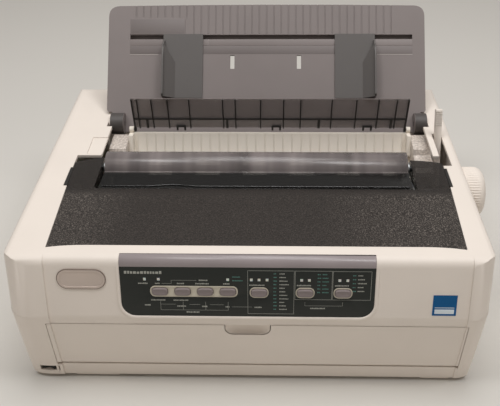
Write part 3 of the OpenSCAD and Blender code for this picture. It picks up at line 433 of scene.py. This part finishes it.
def chequered_clear(name, colour):
    """Clear polycarbonate of the two brackets, moulded with a chequered back. The facets are painted lighter
    and darker by turns, a painted glitter of highlights, and the whole looks pale and only half see-through."""
    facet_mm, haze_mm, depth_mm = 2.2, 5.0, 0.6
    tree, shader, place = start(name)
    facets = pattern(tree, "ShaderNodeTexVoronoi", place, facet_mm)
    haze = pattern(tree, "ShaderNodeTexNoise", place, haze_mm)
    # Each facet is painted lighter or darker: painted glitter of highlights.
    tone = two_tone(tree, facets, (0.1, 0.8), colour, (1.1, 0.72))
    roughness = add(tree, "ShaderNodeMapRange", (haze, 0.0, 1.0, 0.08, 0.25))
    relief = add(tree, "ShaderNodeBump", {"Height": facets, "Distance": depth_mm / MM})
    connect(shader, {"Base Color": tone, "Roughness": roughness, "Normal": relief})
    connect(shader, {"IOR": 1.5, "Alpha": 0.82})


def circuit_board(name, colour, top_mm=BEYOND, back_mm=BEYOND):
    """Glass epoxy board under green solder mask: copper tracks show as a lighter relief. What stands above
    the board's top, and the sockets at the back, is black moulded plastic."""
    track_mm, mortar, haze_mm, blur_mm, depth_mm = 9.0, 0.06, 3.0, 0.3, 0.05
    tree, shader, place = start(name)
    copper = {"Color1": colour, "Color2": shaded(colour, 0.8), "Mortar": shaded(colour, 1.7)}
    tracks = pattern(tree, "ShaderNodeTexBrick", place, track_mm, {"Mortar Size": mortar, **copper})
    above, behind = (
        add(tree, "ShaderNodeMapRange", (place_mm(tree, place, axis), start_mm, start_mm + blur_mm, 0.0, 1.0),
            interpolation_type="SMOOTHSTEP")
        for axis, start_mm in (("Z", top_mm), ("Y", back_mm))
    )
    share = add(tree, "ShaderNodeMath", (above, behind), operation="MAXIMUM")
    mix = {0: share, 6: tracks, 7: linear("242527")}
    tone = add(tree, "ShaderNodeMix", mix, data_type="RGBA").outputs[2]
    relief = add(tree, "ShaderNodeBump", {"Height": tracks.outputs["Fac"], "Distance": depth_mm / MM})
    haze = pattern(tree, "ShaderNodeTexNoise", place, haze_mm)
    roughness = add(tree, "ShaderNodeMapRange", (haze, 0.0, 1.0, 0.25, 0.4))
    connect(shader, {"Base Color": tone, "Normal": relief, "Roughness": roughness})
    connect(shader, {"IOR": 1.5, "Coat Weight": 0.3})


# ---- what a user would change ----

def tint(name, code, about):
    """A colour that the sidebar shows, with its sRGB default."""
    return bpy.props.FloatVectorProperty(
        name=name, description=about, subtype="COLOR", size=4, min=0, max=1, default=linear(code)
    )


def measure(name, millimetre, about):
    """A size that the sidebar shows, with its default in millimetres."""
    return bpy.props.FloatProperty(
        name=name, description=about, unit="LENGTH", subtype="DISTANCE", min=0, default=millimetre / MM
    )


class PrinterColours(bpy.types.PropertyGroup):
    """Colours of the printer's plastics and marks."""

    housing: tint("Housing", "f0e6dc", "Warm white of the housing, door, knob and lever")
    guide: tint("Exit guide", "fff5e8", "Ivory white of the ribbed exit guide")
    support: tint("Paper support", "867d7b", "Warm grey of the paper support")
    guides: tint("Paper guides", "625e5c", "Cool grey of the two sliding guides")
    boss: tint("Pivot bosses", "4e4947", "Dark grey of the support's pivot bosses")
    smoke: tint("Smoked covers", "2b2623", "Brown black of the smoked covers")
    clear: tint("Clear cover", "7b7372", "Grey of the clear cover's frosted hump")
    panel: tint("Panel", "272a27", "Green black of the control panel")
    band: tint("Panel band", "9b9192", "Grey of the band over the panel")
    button: tint("Buttons", "8a7f7e", "Taupe of the buttons")
    bezel: tint("Button bezels", "cfc7b6", "Beige of the rims round the buttons")
    mark: tint("Marks", "a9aaa2", "Pale grey of the printed marks on the panel")
    teal: tint("Second marks", "4f8077", "Teal of the second row of marks")
    badge: tint("Badge", "cfc0b6", "Bronze of the bare oval badge")
    label: tint("Label", "045a92", "Blue of the bare label")
    floor: tint("Floor", "dcd9d3", "Pale floor")


class PrinterSizes(bpy.types.PropertyGroup):
    """Sizes of the finer shapes of the printer."""

    edge: measure("Housing edge", 0.9, "Radius of the housing's edges")
    small_edge: measure("Small edge", 0.5, "Radius of the paper support's edges")
    button_dish: measure("Button dish", 0.35, "Depth of the hollow in a button")
    flute_depth: measure("Knob flute", 0.55, "Depth of a flute of the knob")
    notch_depth: measure("Notch depth", 6.6, "Depth of the finger notch over the front door")
    mark_height: measure("Mark height", 0.06, "Height of the printed marks above the panel")


def paint(name):
    """A colour that a user can change."""
    return tuple(getattr(bpy.context.scene.printer_colours, name))


def in_mm(name):
    """A size that a user can change, in millimetres."""
    return getattr(bpy.context.scene.printer_sizes, name) * MM


# ---- finishes ----

# By the material's name: its maker, its colour and its settings. A word stands for a colour or a size that a
# user can change, and any other colour is an sRGB hex code.
FINISHES = {
    "moulded_white_abs": (
        moulded, "housing", dict(roughness=0.5, grain_mm=1.1, mottle=0.015, edge_mm="edge")),
    "moulded_ivory_abs": (moulded, "guide", dict(roughness=0.5, grain_mm=1.1, mottle=0.015, edge_mm=1.6)),
    "moulded_grey_abs": (moulded, "support", dict(roughness=0.52, grain_mm=1.0, edge_mm="small_edge")),
    "moulded_dark_grey_abs": (moulded, "guides", dict(roughness=0.5, grain_mm=1.0, edge_mm=0.3)),
    "moulded_black_abs": (moulded, "24211f", dict(roughness=0.45, mottle=0.05)),
    "moulded_grey_trim": (moulded, "support", dict(roughness=0.5, tone=0.8)),
    "moulded_grey_rail": (moulded, "support", dict(roughness=0.48, tone=1.02)),
    # A pale painted highlight for the edge of the support's band.
    "moulded_pale_edge": (moulded, "b5ada8", dict(roughness=0.42)),
    "moulded_boss_grey": (moulded, "boss", dict(roughness=0.48)),
    "moulded_taupe_button": (
        moulded, "button", dict(roughness=0.42, grain_mm=0.8, depth_mm=0.02, mottle=0.02)),
    "moulded_acetal": (moulded, "e4ddd0", dict(roughness=0.4, grain_mm=0.8, depth_mm=0.01)),
    "moulded_blue_acetal": (moulded, "3a6fb0", dict(roughness=0.4)),
    "printed_bezel": (moulded, "bezel", dict(roughness=0.45)),
    # The top cover carries pale painted glints, painted highlights of the lamps.
    "etched_smoked_polycarbonate": (etched_smoke, "smoke", {}),
    # The roller cover carries painted highlight bands on its hump and a painted shade on its flat part.
    "frosted_clear_polycarbonate": (frosted_clear, "clear", {}),
    # The brackets' facets carry a painted glitter of highlights.
    "chequered_polycarbonate": (chequered_clear, "f6e9de", {}),
    "smoked_sheet": (smoked_sheet, "847a77", dict(alpha=0.58)),
    "frosted_lamp_window": (frosted_lamp, "dcdcd4", {}),
    "satin_panel_film": (satin_film, "panel", dict(roughness=0.42, specular=0.3)),
    "satin_panel_band": (satin_film, "band", dict(roughness=0.3)),
    "satin_bronze_badge": (satin_film, "badge", dict(roughness=0.32, metallic=0.35)),
    # Dark bronze of the badge's rim: partly its own colour, partly a painted shade of the recess edge.
    "satin_bronze_rim": (satin_film, "86776e", dict(roughness=0.3, metallic=0.4)),
    "printed_blue_label": (satin_film, "label", dict(roughness=0.4, specular=0.2)),
    "printed_label_white": (satin_film, "dfe9f0", dict(roughness=0.3)),
    "printed_pale_ink": (satin_film, "mark", dict(roughness=0.4)),
    "printed_teal_ink": (satin_film, "teal", dict(roughness=0.4)),
    "painted_motor_can": (satin_film, "3c3d40", dict(roughness=0.4, metallic=0.3)),
    "ground_rubber": (ground_rubber, "33302e", {}),
    "rubber_foot": (ground_rubber, "2c2a28", {}),
    "ground_steel": (metal, "b4b6b8", dict(roughness=0.25, line_mm=0.6)),
    "zinc_plated_sheet": (metal, "b0b2b2", dict(roughness=0.42, line_mm=0.9, stretch=(1.0, 1.0, 0.1))),
    "machined_brass": (metal, "c9a24a", dict(roughness=0.3, line_mm=0.6)),
    "anodised_head": (metal, "3a3b3e", dict(roughness=0.4, line_mm=0.8)),
    "panel_circuit_board": (circuit_board, "2f6b3c", {}),
    "main_circuit_board": (circuit_board, "2f6b3c", dict(top_mm=BOARD_TOP, back_mm=SOCKETS_FROM)),
    "matt_paper_floor": (matt_paper, "floor", {}),
}


def made_of(name):
    """The material of that name, made at its first use and then used again."""
    if name not in bpy.data.materials:
        maker, colour, settings = FINISHES[name]
        known = hasattr(bpy.context.scene.printer_colours, colour)
        settings = {key: in_mm(size) if isinstance(size, str) else size for key, size in settings.items()}
        maker(name, paint(colour) if known else linear(colour), **settings)
    return bpy.data.materials[name]


def dress(material, edge, *nodes, degrees=32):
    """Gives solids of the frame their material and rounds their edges: the loose triangles are welded, flat
    parts are merged into one face each, and every edge sharper than the angle gets a round bevel. With no
    edge the sharp edges are only split, and the material may round them off instead."""
    weld_metres, flat_degrees, bevel_segments = 2e-6, 0.6, 2
    for node in nodes:
        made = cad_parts[node]
        made.data.materials.clear()
        made.data.materials.append(made_of(material))
        made.data.polygons.foreach_set("material_index", np.zeros(len(made.data.polygons), np.int32))
        weld = made.modifiers.new("weld", "WELD")
        weld.merge_threshold = weld_metres
        if edge:
            made.data.polygons.foreach_set("use_smooth", np.ones(len(made.data.polygons), bool))
            flat = made.modifiers.new("flat_faces", "DECIMATE")
            flat.decimate_type = "DISSOLVE"
            flat.angle_limit = math.radians(flat_degrees)
            bevel = made.modifiers.new("round_edges", "BEVEL")
            bevel.width = edge / MM
            bevel.segments = bevel_segments
            bevel.limit_method = "ANGLE"
            bevel.angle_limit = math.radians(degrees)
            bevel.use_clamp_overlap = False
            bevel.harden_normals = True
        else:
            shade(made, degrees)


# ---- operators ----

class PRINTER_OT_housing(bpy.types.Operator):
    """Housing, base, door, feet, screws, exit guide, and the finger notch over the door"""

    bl_idname = "printer.housing"
    bl_label = "Housing"

    def execute(self, context):
        dress("moulded_white_abs", 0.0, "upper_housing", "base_tray", "front_door")
        dress("moulded_ivory_abs", 0.0, "exit_guide")
        dress("rubber_foot", 0.3, "rubber_feet")
        dress("ground_steel", 0.15, "housing_screws")
        notch_dish()
        door_lip()
        return {"FINISHED"}


def front_skin(z):
    """How far back the front of the housing lies at height z: a straight lean from the fold to the foot."""
    fold_z, fold_y, foot_z, foot_y = 82.0, 0.6, 74.5, 2.0
    return fold_y + (fold_z - z) * (foot_y - fold_y) / (fold_z - foot_z)


def notch_dish():
    """The dish behind the finger notch. With u across and v up, the depth is the full depth times (1 - u^4)
    times the square root of 1 - (1 - v)^2, and the width follows the notch's round lower corners."""
    half, corner, low, high, skin, wall = 18.9, 7.4, 62.1, 74.2, 0.4, 0.8
    across, up = np.meshgrid(np.linspace(-1, 1, 41), np.linspace(0, 1, 17))
    bowl = in_mm("notch_depth") * (1 - across ** 4) * np.sqrt(1 - (1 - up) ** 2)
    z = low + (high - low) * up
    drop = np.clip(low + corner - z, 0, corner)
    x = across * (half - corner + np.sqrt(corner ** 2 - drop ** 2))
    front = front_skin(z) + skin + bowl
    outer, inner = points_at(x, front, z), points_at(x, front + wall, z)
    shell = np.concatenate([outer, inner[::-1], outer[:1]])
    piece("notch_dish", grid(shell), "moulded_white_abs", "printer")


def door_lip():
    """The lip over the door: a thin bead along the housing's lower edge on both sides of the notch."""
    z, radius, stand_in = 75.3, 0.45, 0.25
    y = front_skin(z) + stand_in
    parts = [bar(np.linspace(low, high, 3), y, z, radius) for low, high in ((-169.0, -21.0), (21.0, 182.5))]
    piece("door_lip", join(*parts), "moulded_white_abs", "printer")


class PRINTER_OT_covers(bpy.types.Operator):
    """Smoked top cover with its grips, clear roller cover, clear brackets and the cover switch"""

    bl_idname = "printer.covers"
    bl_label = "Covers"

    def execute(self, context):
        dress("etched_smoked_polycarbonate", 0.0, "top_cover")
        dress("moulded_black_abs", 0.2, "cover_grips", degrees=38)
        dress("frosted_clear_polycarbonate", 0.2, "roller_cover", degrees=38)
        dress("chequered_polycarbonate", 0.4, "bracket_left", "bracket_right")
        dress("moulded_grey_abs", 0.2, "cover_switch")
        tear_edge()
        return {"FINISHED"}


def tear_edge():
    """The raised rim along the front of the clear cover, with a shallow cut in it: the rim is straight, and
    over the cut it drops back by a raised cosine."""
    front, z, radius = 117.2, 141.5, 0.7
    cut_middle, cut_half, cut_depth = -72.0, 26.0, 1.4
    x = np.linspace(-138.0, 146.0, 143)
    turn = 2 * np.pi * (x - cut_middle + cut_half) / (2 * cut_half)
    cut = np.where(np.abs(x - cut_middle) < cut_half, 1 - np.cos(turn), 0.0) * cut_depth
    surface = bar(x, front + cut, z, radius)
    piece("cover_tear_edge", surface, "frosted_clear_polycarbonate", "roller_cover")


class PRINTER_OT_paper_support(bpy.types.Operator):
    """Paper support with its rail, tab and bosses, the two guides, and the smoked separator"""

    bl_idname = "printer.paper_support"
    bl_label = "Paper Support"

    def execute(self, context):
        dress("moulded_grey_abs", 0.0, "paper_support")
        dress("ground_steel", 0.2, "support_pins")
        dress("moulded_dark_grey_abs", 0.0, "guide_left", "guide_right")
        dress("smoked_sheet", 0.25, "separator_sheet")
        dress("moulded_black_abs", 0.15, "separator_frame")
        support_trim()
        boss_sleeves()
        return {"FINISHED"}


def support_trim():
    """Thin plates on the support: the dark band, the light rail and the tab under the slot, the dark field of
    the label plate, and a pale strip at each end of the band, a painted highlight along the band's edge."""
    left, right = -135.4, 170.2
    band = plate(SUPPORT, (left, right), (63.9, 72.6), (-0.2, 0.1), 0.08)
    field = plate(SUPPORT, (left + 0.6, left + 59.4), (86.6, 102.4), (0.3, 0.56), 0.08)
    rail = plate(SUPPORT, (left, right), (73.0, 79.9), (-0.2, 0.16), 0.08)
    tab = plate(SUPPORT, (left + 80.4, left + 85.8), (73.4, 80.1), (-0.1, 0.24), 0.1)
    # The pale strips are a painted highlight along the edge of the band, left and right of the guides.
    ends = [plate(SUPPORT, x, (62.9, 63.5), (-0.1, 0.22), 0.05)
            for x in ((left, left + 31.2), (right - 37.6, right))]
    for name, surface, material in (
        ("support_band", join(band, field), "moulded_grey_trim"),
        ("support_rail", join(rail, tab), "moulded_grey_rail"),
        ("support_ridge", join(*ends), "moulded_pale_edge"),
    ):
        piece(name, surface, material, "paper_support")


def boss_sleeves():
    """A dark sleeve round each pivot boss: a drum with bevelled rims, turned about the pivot."""
    bore, radius, chamfer, sides = 5.5, 11.3, 0.3, 48
    parts = []
    for low, high in ((-151.9, -138.1), (169.4, 181.7)):
        profile = [(low, bore), (low, radius - chamfer), (low + chamfer, radius), (high - chamfer, radius),
                   (high, radius - chamfer), (high, bore)]
        parts.append(turned(profile, SUPPORT_PIVOT, sides))
    piece("boss_sleeves", join(*parts), "moulded_boss_grey", "paper_support")


class PRINTER_OT_panel(bpy.types.Operator):
    """Control panel: band, face, bezels, pillowed buttons, lamps, marks, rim, badge and label"""

    bl_idname = "printer.panel"
    bl_label = "Control Panel"

    def execute(self, context):
        dress("satin_panel_band", 0.2, "panel_band", degrees=38)
        dress("satin_panel_film", 0.1, "panel_face", degrees=38)
        dress("printed_bezel", 0.15, "button_bezels")
        dress("frosted_lamp_window", 0.0, "lamp_windows")
        dress("panel_circuit_board", 0.0, "panel_board")
        dress("satin_bronze_badge", 0.15, "badge_plate")
        dress("printed_blue_label", 0.0, "front_label")
        dress("moulded_black_abs", 0.25, "power_switch")
        button_caps()
        panel_rim()
        badge_rim()
        panel_marks()
        label_field()
        return {"FINISHED"}


BUTTONS = (
    (-71.8, 23.4), (-53.1, 23.4), (-34.4, 23.4), (-15.8, 23.4), (9.8, 22.8), (47.5, 22.8), (78.4, 22.8),
)


def button_caps():
    """Seven caps. Each ring of a cap is a superellipse of power 4; the wall stands straight, rolls over by a
    quarter circle, and the top sinks in steps towards its middle."""
    width, height, out, roll, sunk = 13.0, 6.8, 2.4, 1.1, -4.0
    dish = in_mm("button_dish")
    angle = np.linspace(0, 2 * np.pi, 64, endpoint=False)
    wave = np.stack([np.cos(angle), np.sin(angle)], axis=-1)
    outline = np.sign(wave) * np.abs(wave) ** 0.5 * np.array([width, height]) / 2
    turn = np.radians(np.linspace(0, 90, 6))
    inset = np.concatenate([[0.0, 0.0], roll * (1 - np.cos(turn)), [1.6, 2.2, 2.8]])
    hollow = out - dish * np.array([0.45, 0.8, 1.0])
    level = np.concatenate([[sunk, 0.0], out - roll + roll * np.sin(turn), hollow])
    scale = 1 - inset[:, None] / np.array([width / 2, height / 2])
    ring = outline * scale[:, None, :]
    for i, (x, up) in enumerate(BUTTONS):
        points = PANEL.at(ring[..., 0] + x, ring[..., 1] + up, level[:, None])
        name = f"button_{i + 1}"
        piece(f"{name}_cap", grid(points, around=True, closed=True), "moulded_taupe_button", name,
              40, (name,))


def panel_outline(grow, count):
    """The panel's outline, grown by so much: round lower corners and square upper ones."""
    half, top, radius = 104.4 + grow, 45.4, 12.0 + grow
    left = arc((-half + radius, radius - grow), radius, 180, 270, count)
    right = arc((half - radius, radius - grow), radius, 270, 360, count)
    return np.concatenate([[(-half, top)], left, right, [(half, top)]])


def panel_rim():
    """The soft rim of the housing round the panel: a low half-round bead along its outline, which fades out
    at both upper ends. A point of it lies the half width times cos a away from the line, and stands out by
    the height times sin a."""
    gap, half_width, height, sink, fade_length = 0.7, 1.5, 0.75, -0.4, 12.0
    line = panel_outline(grow=0.9, count=16)
    step = np.diff(line, axis=0, prepend=line[:1])
    length = np.cumsum(np.linalg.norm(step, axis=1))
    places = np.linspace(0, length[-1], 161)
    path = np.stack([np.interp(places, length, line[:, i]) for i in (0, 1)], axis=-1)
    fade = np.clip(np.minimum(places, length[-1] - places) / fade_length, 0.15, 1.0)
    tangent = np.gradient(path, axis=0)
    tangent /= np.linalg.norm(tangent, axis=1, keepdims=True)
    side = np.stack([tangent[:, 1], -tangent[:, 0]], axis=-1)
    angle = np.linspace(-0.2, np.pi + 0.2, 11)
    away = gap + half_width * np.cos(angle)
    out = height * fade[:, None] * np.sin(angle) + 0.05
    x, up = (path[:, i, None] + side[:, i, None] * away for i in (0, 1))
    over, under = PANEL.at(x, up, out), PANEL.at(x[:, ::-1], up[:, ::-1], sink)
    points = np.concatenate([over, under], axis=1)
    piece("panel_rim", grid(points, around=True, closed=True), "moulded_white_abs", "printer",
          60)


def badge_rim():
    """The bronze rim round the bare badge: a bead along the badge's rounded outline. Its dark colour is
    partly the rim's own bronze and partly a painted shade of the recess edge round the badge.
    """
    middle, width, height, corner, lift, radius = (-136.3, 34.0), 40.0, 17.5, 8.7, 0.35, 0.55
    line = rounded_outline(width, height, corner) + middle
    path = PANEL.at(line[:, 0], line[:, 1], lift)
    piece("badge_rim", bead(path, radius), "satin_bronze_rim", "printer")


def marks(rows, height):
    """Printed marks: each row is (x from, x to, up from, up to), and each becomes a thin plate."""
    return join(*[plate(PANEL, row[:2], row[2:], (-0.05, height), 0.04) for row in rows])


def dashes(x, up, count, seed, width=1.0, height=1.3):
    """A row of short dashes in place of a word: each is as wide and high as given, times seeded draws, and
    the gaps are 0.3 of the width."""
    draw = np.random.default_rng(seed)
    rows = []
    for _ in range(count):
        length = width * draw.uniform(0.6, 1.25)
        rows.append((x, x + length, up, up + height * draw.uniform(0.75, 1.0)))
        x += length + width * 0.3
    return rows


def frame_lines(left, right, low, high, line=0.25):
    """The four thin sides of a box."""
    return [(left, right, low, low + line), (left, right, high - line, high),
            (left, left + line, low, high), (right - line, right, low, high)]


# Boxes and lines are (x from, x to, up from, up to). Words are (x, up, dashes, seed, width, height).
PALE_BOXES = ((0.4, 38.5, 2.6, 42.9), (39.1, 69.4, 16.3, 42.9), (69.8, 101.2, 16.2, 42.7))
PALE_LINES = (
    (-71.92, -71.68, 5.6, 13.6), (-53.22, -52.98, 5.6, 13.6), (-34.52, -34.28, 5.6, 13.6),
    (-15.92, -15.68, 5.6, 13.6), (-71.8, -59.5, 11.0, 11.2), (-48.0, -39.0, 10.9, 11.1),
    (-31.0, -19.5, 10.8, 11.0), (-71.8, -15.8, 5.6, 5.8), (-12.5, 4.0, 8.9, 9.1), (47.4, 47.6, 10.6, 14.0),
    (78.3, 78.5, 10.6, 14.0), (47.4, 78.5, 10.5, 10.7), (-70.0, -62.0, 30.4, 30.6),
    (-62.2, -62.0, 30.4, 33.6), (-62.0, -41.5, 33.4, 33.6),
)
PALE_WORDS = (
    (-100.5, 39.2, 12, 1, 2.2, 2.6), (-89.5, 29.9, 6, 10), (-75.6, 29.9, 4, 11), (-57.5, 29.9, 5, 12),
    (-42.5, 29.9, 9, 13), (-19.6, 29.9, 4, 14), (1.8, 28.9, 11, 20), (40.6, 28.9, 9, 21),
    (71.6, 28.9, 10, 22), (-79.5, 14.4, 10, 30), (-61.0, 14.4, 10, 31), (-85.0, 9.6, 4, 32),
    (-58.0, 8.8, 6, 33), (-37.5, 8.6, 4, 34), (-18.0, 8.4, 3, 35), (6.0, 8.2, 5, 36), (-50.5, 3.2, 9, 37),
    (52.0, 7.6, 10, 38), (-39.5, 33.0, 6, 50),
)
TEAL_WORDS = ((-12.0, 36.4, 6, 140, 0.9, 1.0), (-12.0, 33.0, 8, 141, 0.9, 1.0))


def panel_marks():
    """The printed marks of the panel: boxes, brackets and rows of dashes, with no letters. Three columns of
    rows go down in even steps, each row a short and a longer word."""
    pale, teal = list(PALE_LINES), []
    for box in PALE_BOXES:
        pale += frame_lines(*box)
    for word in PALE_WORDS:
        pale += dashes(*word)
    for count, top, drop, short_x, short_seed, long_x, long_seed, spread, width, ink in (
        (11, 39.6, 3.3, 21.6, 60, 26.4, 80, 4, 0.9, pale),
        (6, 39.2, 3.3, 57.4, 100, 61.4, 110, 3, 0.8, teal),
        (5, 38.4, 3.6, 86.0, 120, 90.2, 130, 3, 0.9, pale),
    ):
        for i in range(count):
            teal += dashes(short_x, top - i * drop, 2, short_seed + i, 1.1, 1.0)
            ink += dashes(long_x, top - i * drop, 4 + i % spread, long_seed + i, width, 1.0)
    for word in TEAL_WORDS:
        teal += dashes(*word)
    height = in_mm("mark_height")
    for name, rows, ink in (
        ("panel_marks", pale, "printed_pale_ink"), ("panel_marks_teal", teal, "printed_teal_ink"),
    ):
        piece(name, marks(rows, height), ink, "printer", 30)


def label_field():
    """A bare label: a pale lower field and a plain bar over it, on the blue."""
    across, out = (154.0, 170.0), (0.2, 0.34)
    fields = [plate(PANEL, across, up, out, 0.05) for up in ((4.2, 8.4), (9.6, 10.2))]
    piece("label_field", join(*fields), "printed_label_white", "printer", 30)


class PRINTER_OT_knob(bpy.types.Operator):
    """Fluted platen knob and the paper lever"""

    bl_idname = "printer.knob"
    bl_label = "Knob and Lever"

    def execute(self, context):
        dress("moulded_white_abs", 0.3, "paper_lever")
        fluted_knob()
        return {"FINISHED"}


def fluted_knob():
    """The knob: a round profile of (x, radius) turned about the axle. Its wall has flutes, where the radius
    drops by the depth times half of 1 - cos(flutes a), and the flutes run out towards both ends."""
    inner, outer, radius, bore, back_round, front_round = 204.0, 225.5, 25.0, 4.2, 1.5, 9.0
    flutes, flute_from, flute_to, run_in, run_out = 60, inner + 2.0, outer - 5.0, 2.0, 4.0
    back = arc((inner + back_round, radius - back_round), back_round, 180, 90, 5)
    wall = np.stack([np.linspace(inner + 2.2, outer - front_round, 14), np.full(14, radius)], axis=-1)
    front = arc((outer - front_round, radius - front_round), front_round, 90, 0, 12)[1:]
    face = [(outer, 12.0), (outer - 0.3, 8.0), (outer - 0.6, 4.0), (outer - 0.6, 1.0)]
    profile = np.concatenate([[(inner, bore), (inner, radius - 3.0)], back, wall, front, face])
    angle = np.linspace(0, 2 * np.pi, flutes * 8, endpoint=False)
    rise = np.clip((profile[:, 0] - flute_from) / run_in, 0, 1)
    fall = np.clip((flute_to - profile[:, 0]) / run_out, 0, 1)
    on_wall = np.where(profile[:, 1] > radius - 3.5, rise * fall, 0.0)
    dip = in_mm("flute_depth") * on_wall[:, None] * (1 - np.cos(flutes * angle)) / 2
    surface = turned(profile, KNOB_AXLE, len(angle), dip)
    piece("platen_knob_fluted", surface, "moulded_white_abs", "platen", 50,
          ("platen_knob",))


class PRINTER_OT_mechanism(bpy.types.Operator):
    """Platen, rollers, gears, side plates, carriage, head, ribbon, belt and tractors"""

    bl_idname = "printer.mechanism"
    bl_label = "Mechanism"

    def execute(self, context):
        dress("moulded_acetal", 0.0, "platen_gear", "pull_up_gear", "belt_pulley", "idler_pulley")
        dress("ground_steel", 0.2, "platen_shaft", "pull_up_shaft", "guide_rod", "tractor_shaft")
        dress("zinc_plated_sheet", 0.15, "side_plate_left", "side_plate_right", "cross_frames")
        dress("ground_rubber", 0.4, "platen", "pull_up_rollers")
        dress("machined_brass", 0.0, "motor_pinion")
        dress("painted_motor_can", 0.4, "feed_motor", "belt_motor")
        dress("moulded_dark_grey_abs", 0.25, "carriage", "tractor_left", "tractor_right")
        dress("anodised_head", 0.15, "print_head")
        dress("moulded_black_abs", 0.2, "ribbon_cartridge", "drive_belt")
        dress("moulded_blue_acetal", 0.15, "ribbon_knob")
        return {"FINISHED"}


class PRINTER_OT_electronics(bpy.types.Operator):
    """Main board with its sockets, and the power unit"""

    bl_idname = "printer.electronics"
    bl_label = "Electronics"

    def execute(self, context):
        dress("main_circuit_board", 0.0, "main_board")
        dress("zinc_plated_sheet", 0.3, "power_unit")
        return {"FINISHED"}


# Each lamp is (name, place, where it points, diameter, power), in metres and watts.
LAMPS = (
    ("key_left", (-0.7, -0.5, 1.8), (0.0, 0.0, 0.1), 0.5, 7.0),
    ("key_right", (0.8, -0.4, 1.7), (0.0, 0.0, 0.1), 0.5, 6.5),
    ("overhead", (0.05, 0.15, 2.0), (0.0, 0.05, 0.1), 1.2, 16.5),
)


class PRINTER_OT_stage(bpy.types.Operator):
    """Pale floor, soft studio light, and the camera at the photograph's angle"""

    bl_idname = "printer.stage"
    bl_label = "Stage"

    def execute(self, context):
        make_floor()
        make_world()
        for lamp in LAMPS:
            area_light(*lamp)
        make_camera()
        context.scene.view_settings.view_transform = "Standard"
        return {"FINISHED"}


def make_floor():
    """A square floor under the machine, 12 m wide."""
    half = 6.0
    corners = [(-half, -half, 0), (half, -half, 0), (half, half, 0), (-half, half, 0)]
    mesh = bpy.data.meshes.new("floor")
    mesh.from_pydata(corners, [], [(0, 1, 2, 3)])
    floor = bpy.data.objects.new("floor", mesh)
    bpy.context.scene.collection.objects.link(floor)
    mesh.materials.append(made_of("matt_paper_floor"))


def make_world():
    """Even light from all round, and a pale background for the camera, for gloss and for what is clear."""
    world = bpy.data.worlds.new("studio")
    world.use_nodes = True
    tree = world.node_tree
    tree.nodes.clear()
    rays = add(tree, "ShaderNodeLightPath").outputs
    seen = (rays["Is Camera Ray"], rays["Is Glossy Ray"])
    seen = add(tree, "ShaderNodeMath", seen, operation="MAXIMUM")
    seen = add(tree, "ShaderNodeMath", (seen, rays["Is Transmission Ray"]), operation="MAXIMUM")
    light = add(tree, "ShaderNodeBackground", {"Color": linear("faf1e8"), "Strength": 0.25})
    backdrop = add(tree, "ShaderNodeBackground", {"Color": linear("e6e4e0"), "Strength": 0.5})
    mixed = add(tree, "ShaderNodeMixShader", (seen, light, backdrop))
    add(tree, "ShaderNodeOutputWorld", {"Surface": mixed})
    bpy.context.scene.world = world


def area_light(name, place, target, size, power):
    """A round lamp that points from its place at the target."""
    light = bpy.data.lights.new(name, "AREA")
    light.shape = "DISK"
    light.size = size
    light.energy = power
    lamp = bpy.data.objects.new(name, light)
    lamp.location = place
    lamp.rotation_mode = "QUATERNION"
    lamp.rotation_quaternion = (Vector(target) - Vector(place)).to_track_quat("-Z", "Y")
    bpy.context.scene.collection.objects.link(lamp)


def make_camera():
    """The photograph's camera: 500 by 406 pixels, its focal length in pixels turned to a 36 mm sensor."""
    focal_pixels, picture_width, place = 767.2, 500, (20.4, -492.5, 500.0)
    pitch, yaw, roll = (math.radians(a) for a in (31.66, -1.97, -0.75))
    ahead = np.array([math.sin(yaw) * math.cos(pitch), math.cos(yaw) * math.cos(pitch), -math.sin(pitch)])
    right = np.array([math.cos(yaw), -math.sin(yaw), 0.0])
    up = np.cross(right, ahead)
    turned_right = math.cos(roll) * right + math.sin(roll) * up
    turned_up = math.cos(roll) * up - math.sin(roll) * right
    lens = bpy.data.cameras.new("camera")
    lens.sensor_width = 36.0
    lens.lens = focal_pixels / picture_width * lens.sensor_width
    camera = bpy.data.objects.new("camera", lens)
    axes = np.stack([turned_right, turned_up, -ahead], axis=1)
    camera.matrix_world = Matrix.Translation(millimetres(place)) @ Matrix(axes).to_4x4()
    bpy.context.scene.collection.objects.link(camera)
    bpy.context.scene.camera = camera


class PRINTER_PT_panel(bpy.types.Panel):
    """Lists the printer's operators and what a user can change"""

    bl_idname = "PRINTER_PT_panel"
    bl_label = "Dot Matrix Printer"
    bl_space_type = "VIEW_3D"
    bl_region_type = "UI"
    bl_category = "Printer"

    def draw(self, context):
        for operator in OPERATORS:
            self.layout.operator(operator.bl_idname)
        for group in (context.scene.printer_sizes, context.scene.printer_colours):
            for name in group.bl_rna.properties.keys():
                if name not in ("rna_type", "name"):
                    self.layout.prop(group, name)


OPERATORS = (
    PRINTER_OT_housing, PRINTER_OT_covers, PRINTER_OT_paper_support, PRINTER_OT_panel, PRINTER_OT_knob,
    PRINTER_OT_mechanism, PRINTER_OT_electronics, PRINTER_OT_stage,
)
CLASSES = (PrinterColours, PrinterSizes, *OPERATORS, PRINTER_PT_panel)


def register():
    """Registers the classes, and the scene's sizes and colours."""
    for cls in CLASSES:
        bpy.utils.register_class(cls)
    bpy.types.Scene.printer_colours = bpy.props.PointerProperty(type=PrinterColours)
    bpy.types.Scene.printer_sizes = bpy.props.PointerProperty(type=PrinterSizes)


def unregister():
    """Takes back what register() did."""
    del bpy.types.Scene.printer_colours
    del bpy.types.Scene.printer_sizes
    for cls in reversed(CLASSES):
        bpy.utils.unregister_class(cls)


def main():
    """Builds the printer and its stage."""
    register()
    bpy.ops.printer.housing()
    bpy.ops.printer.covers()
    bpy.ops.printer.paper_support()
    bpy.ops.printer.panel()
    bpy.ops.printer.knob()
    bpy.ops.printer.mechanism()
    bpy.ops.printer.electronics()
    bpy.ops.printer.stage()


if __name__ == "__main__":
    main()
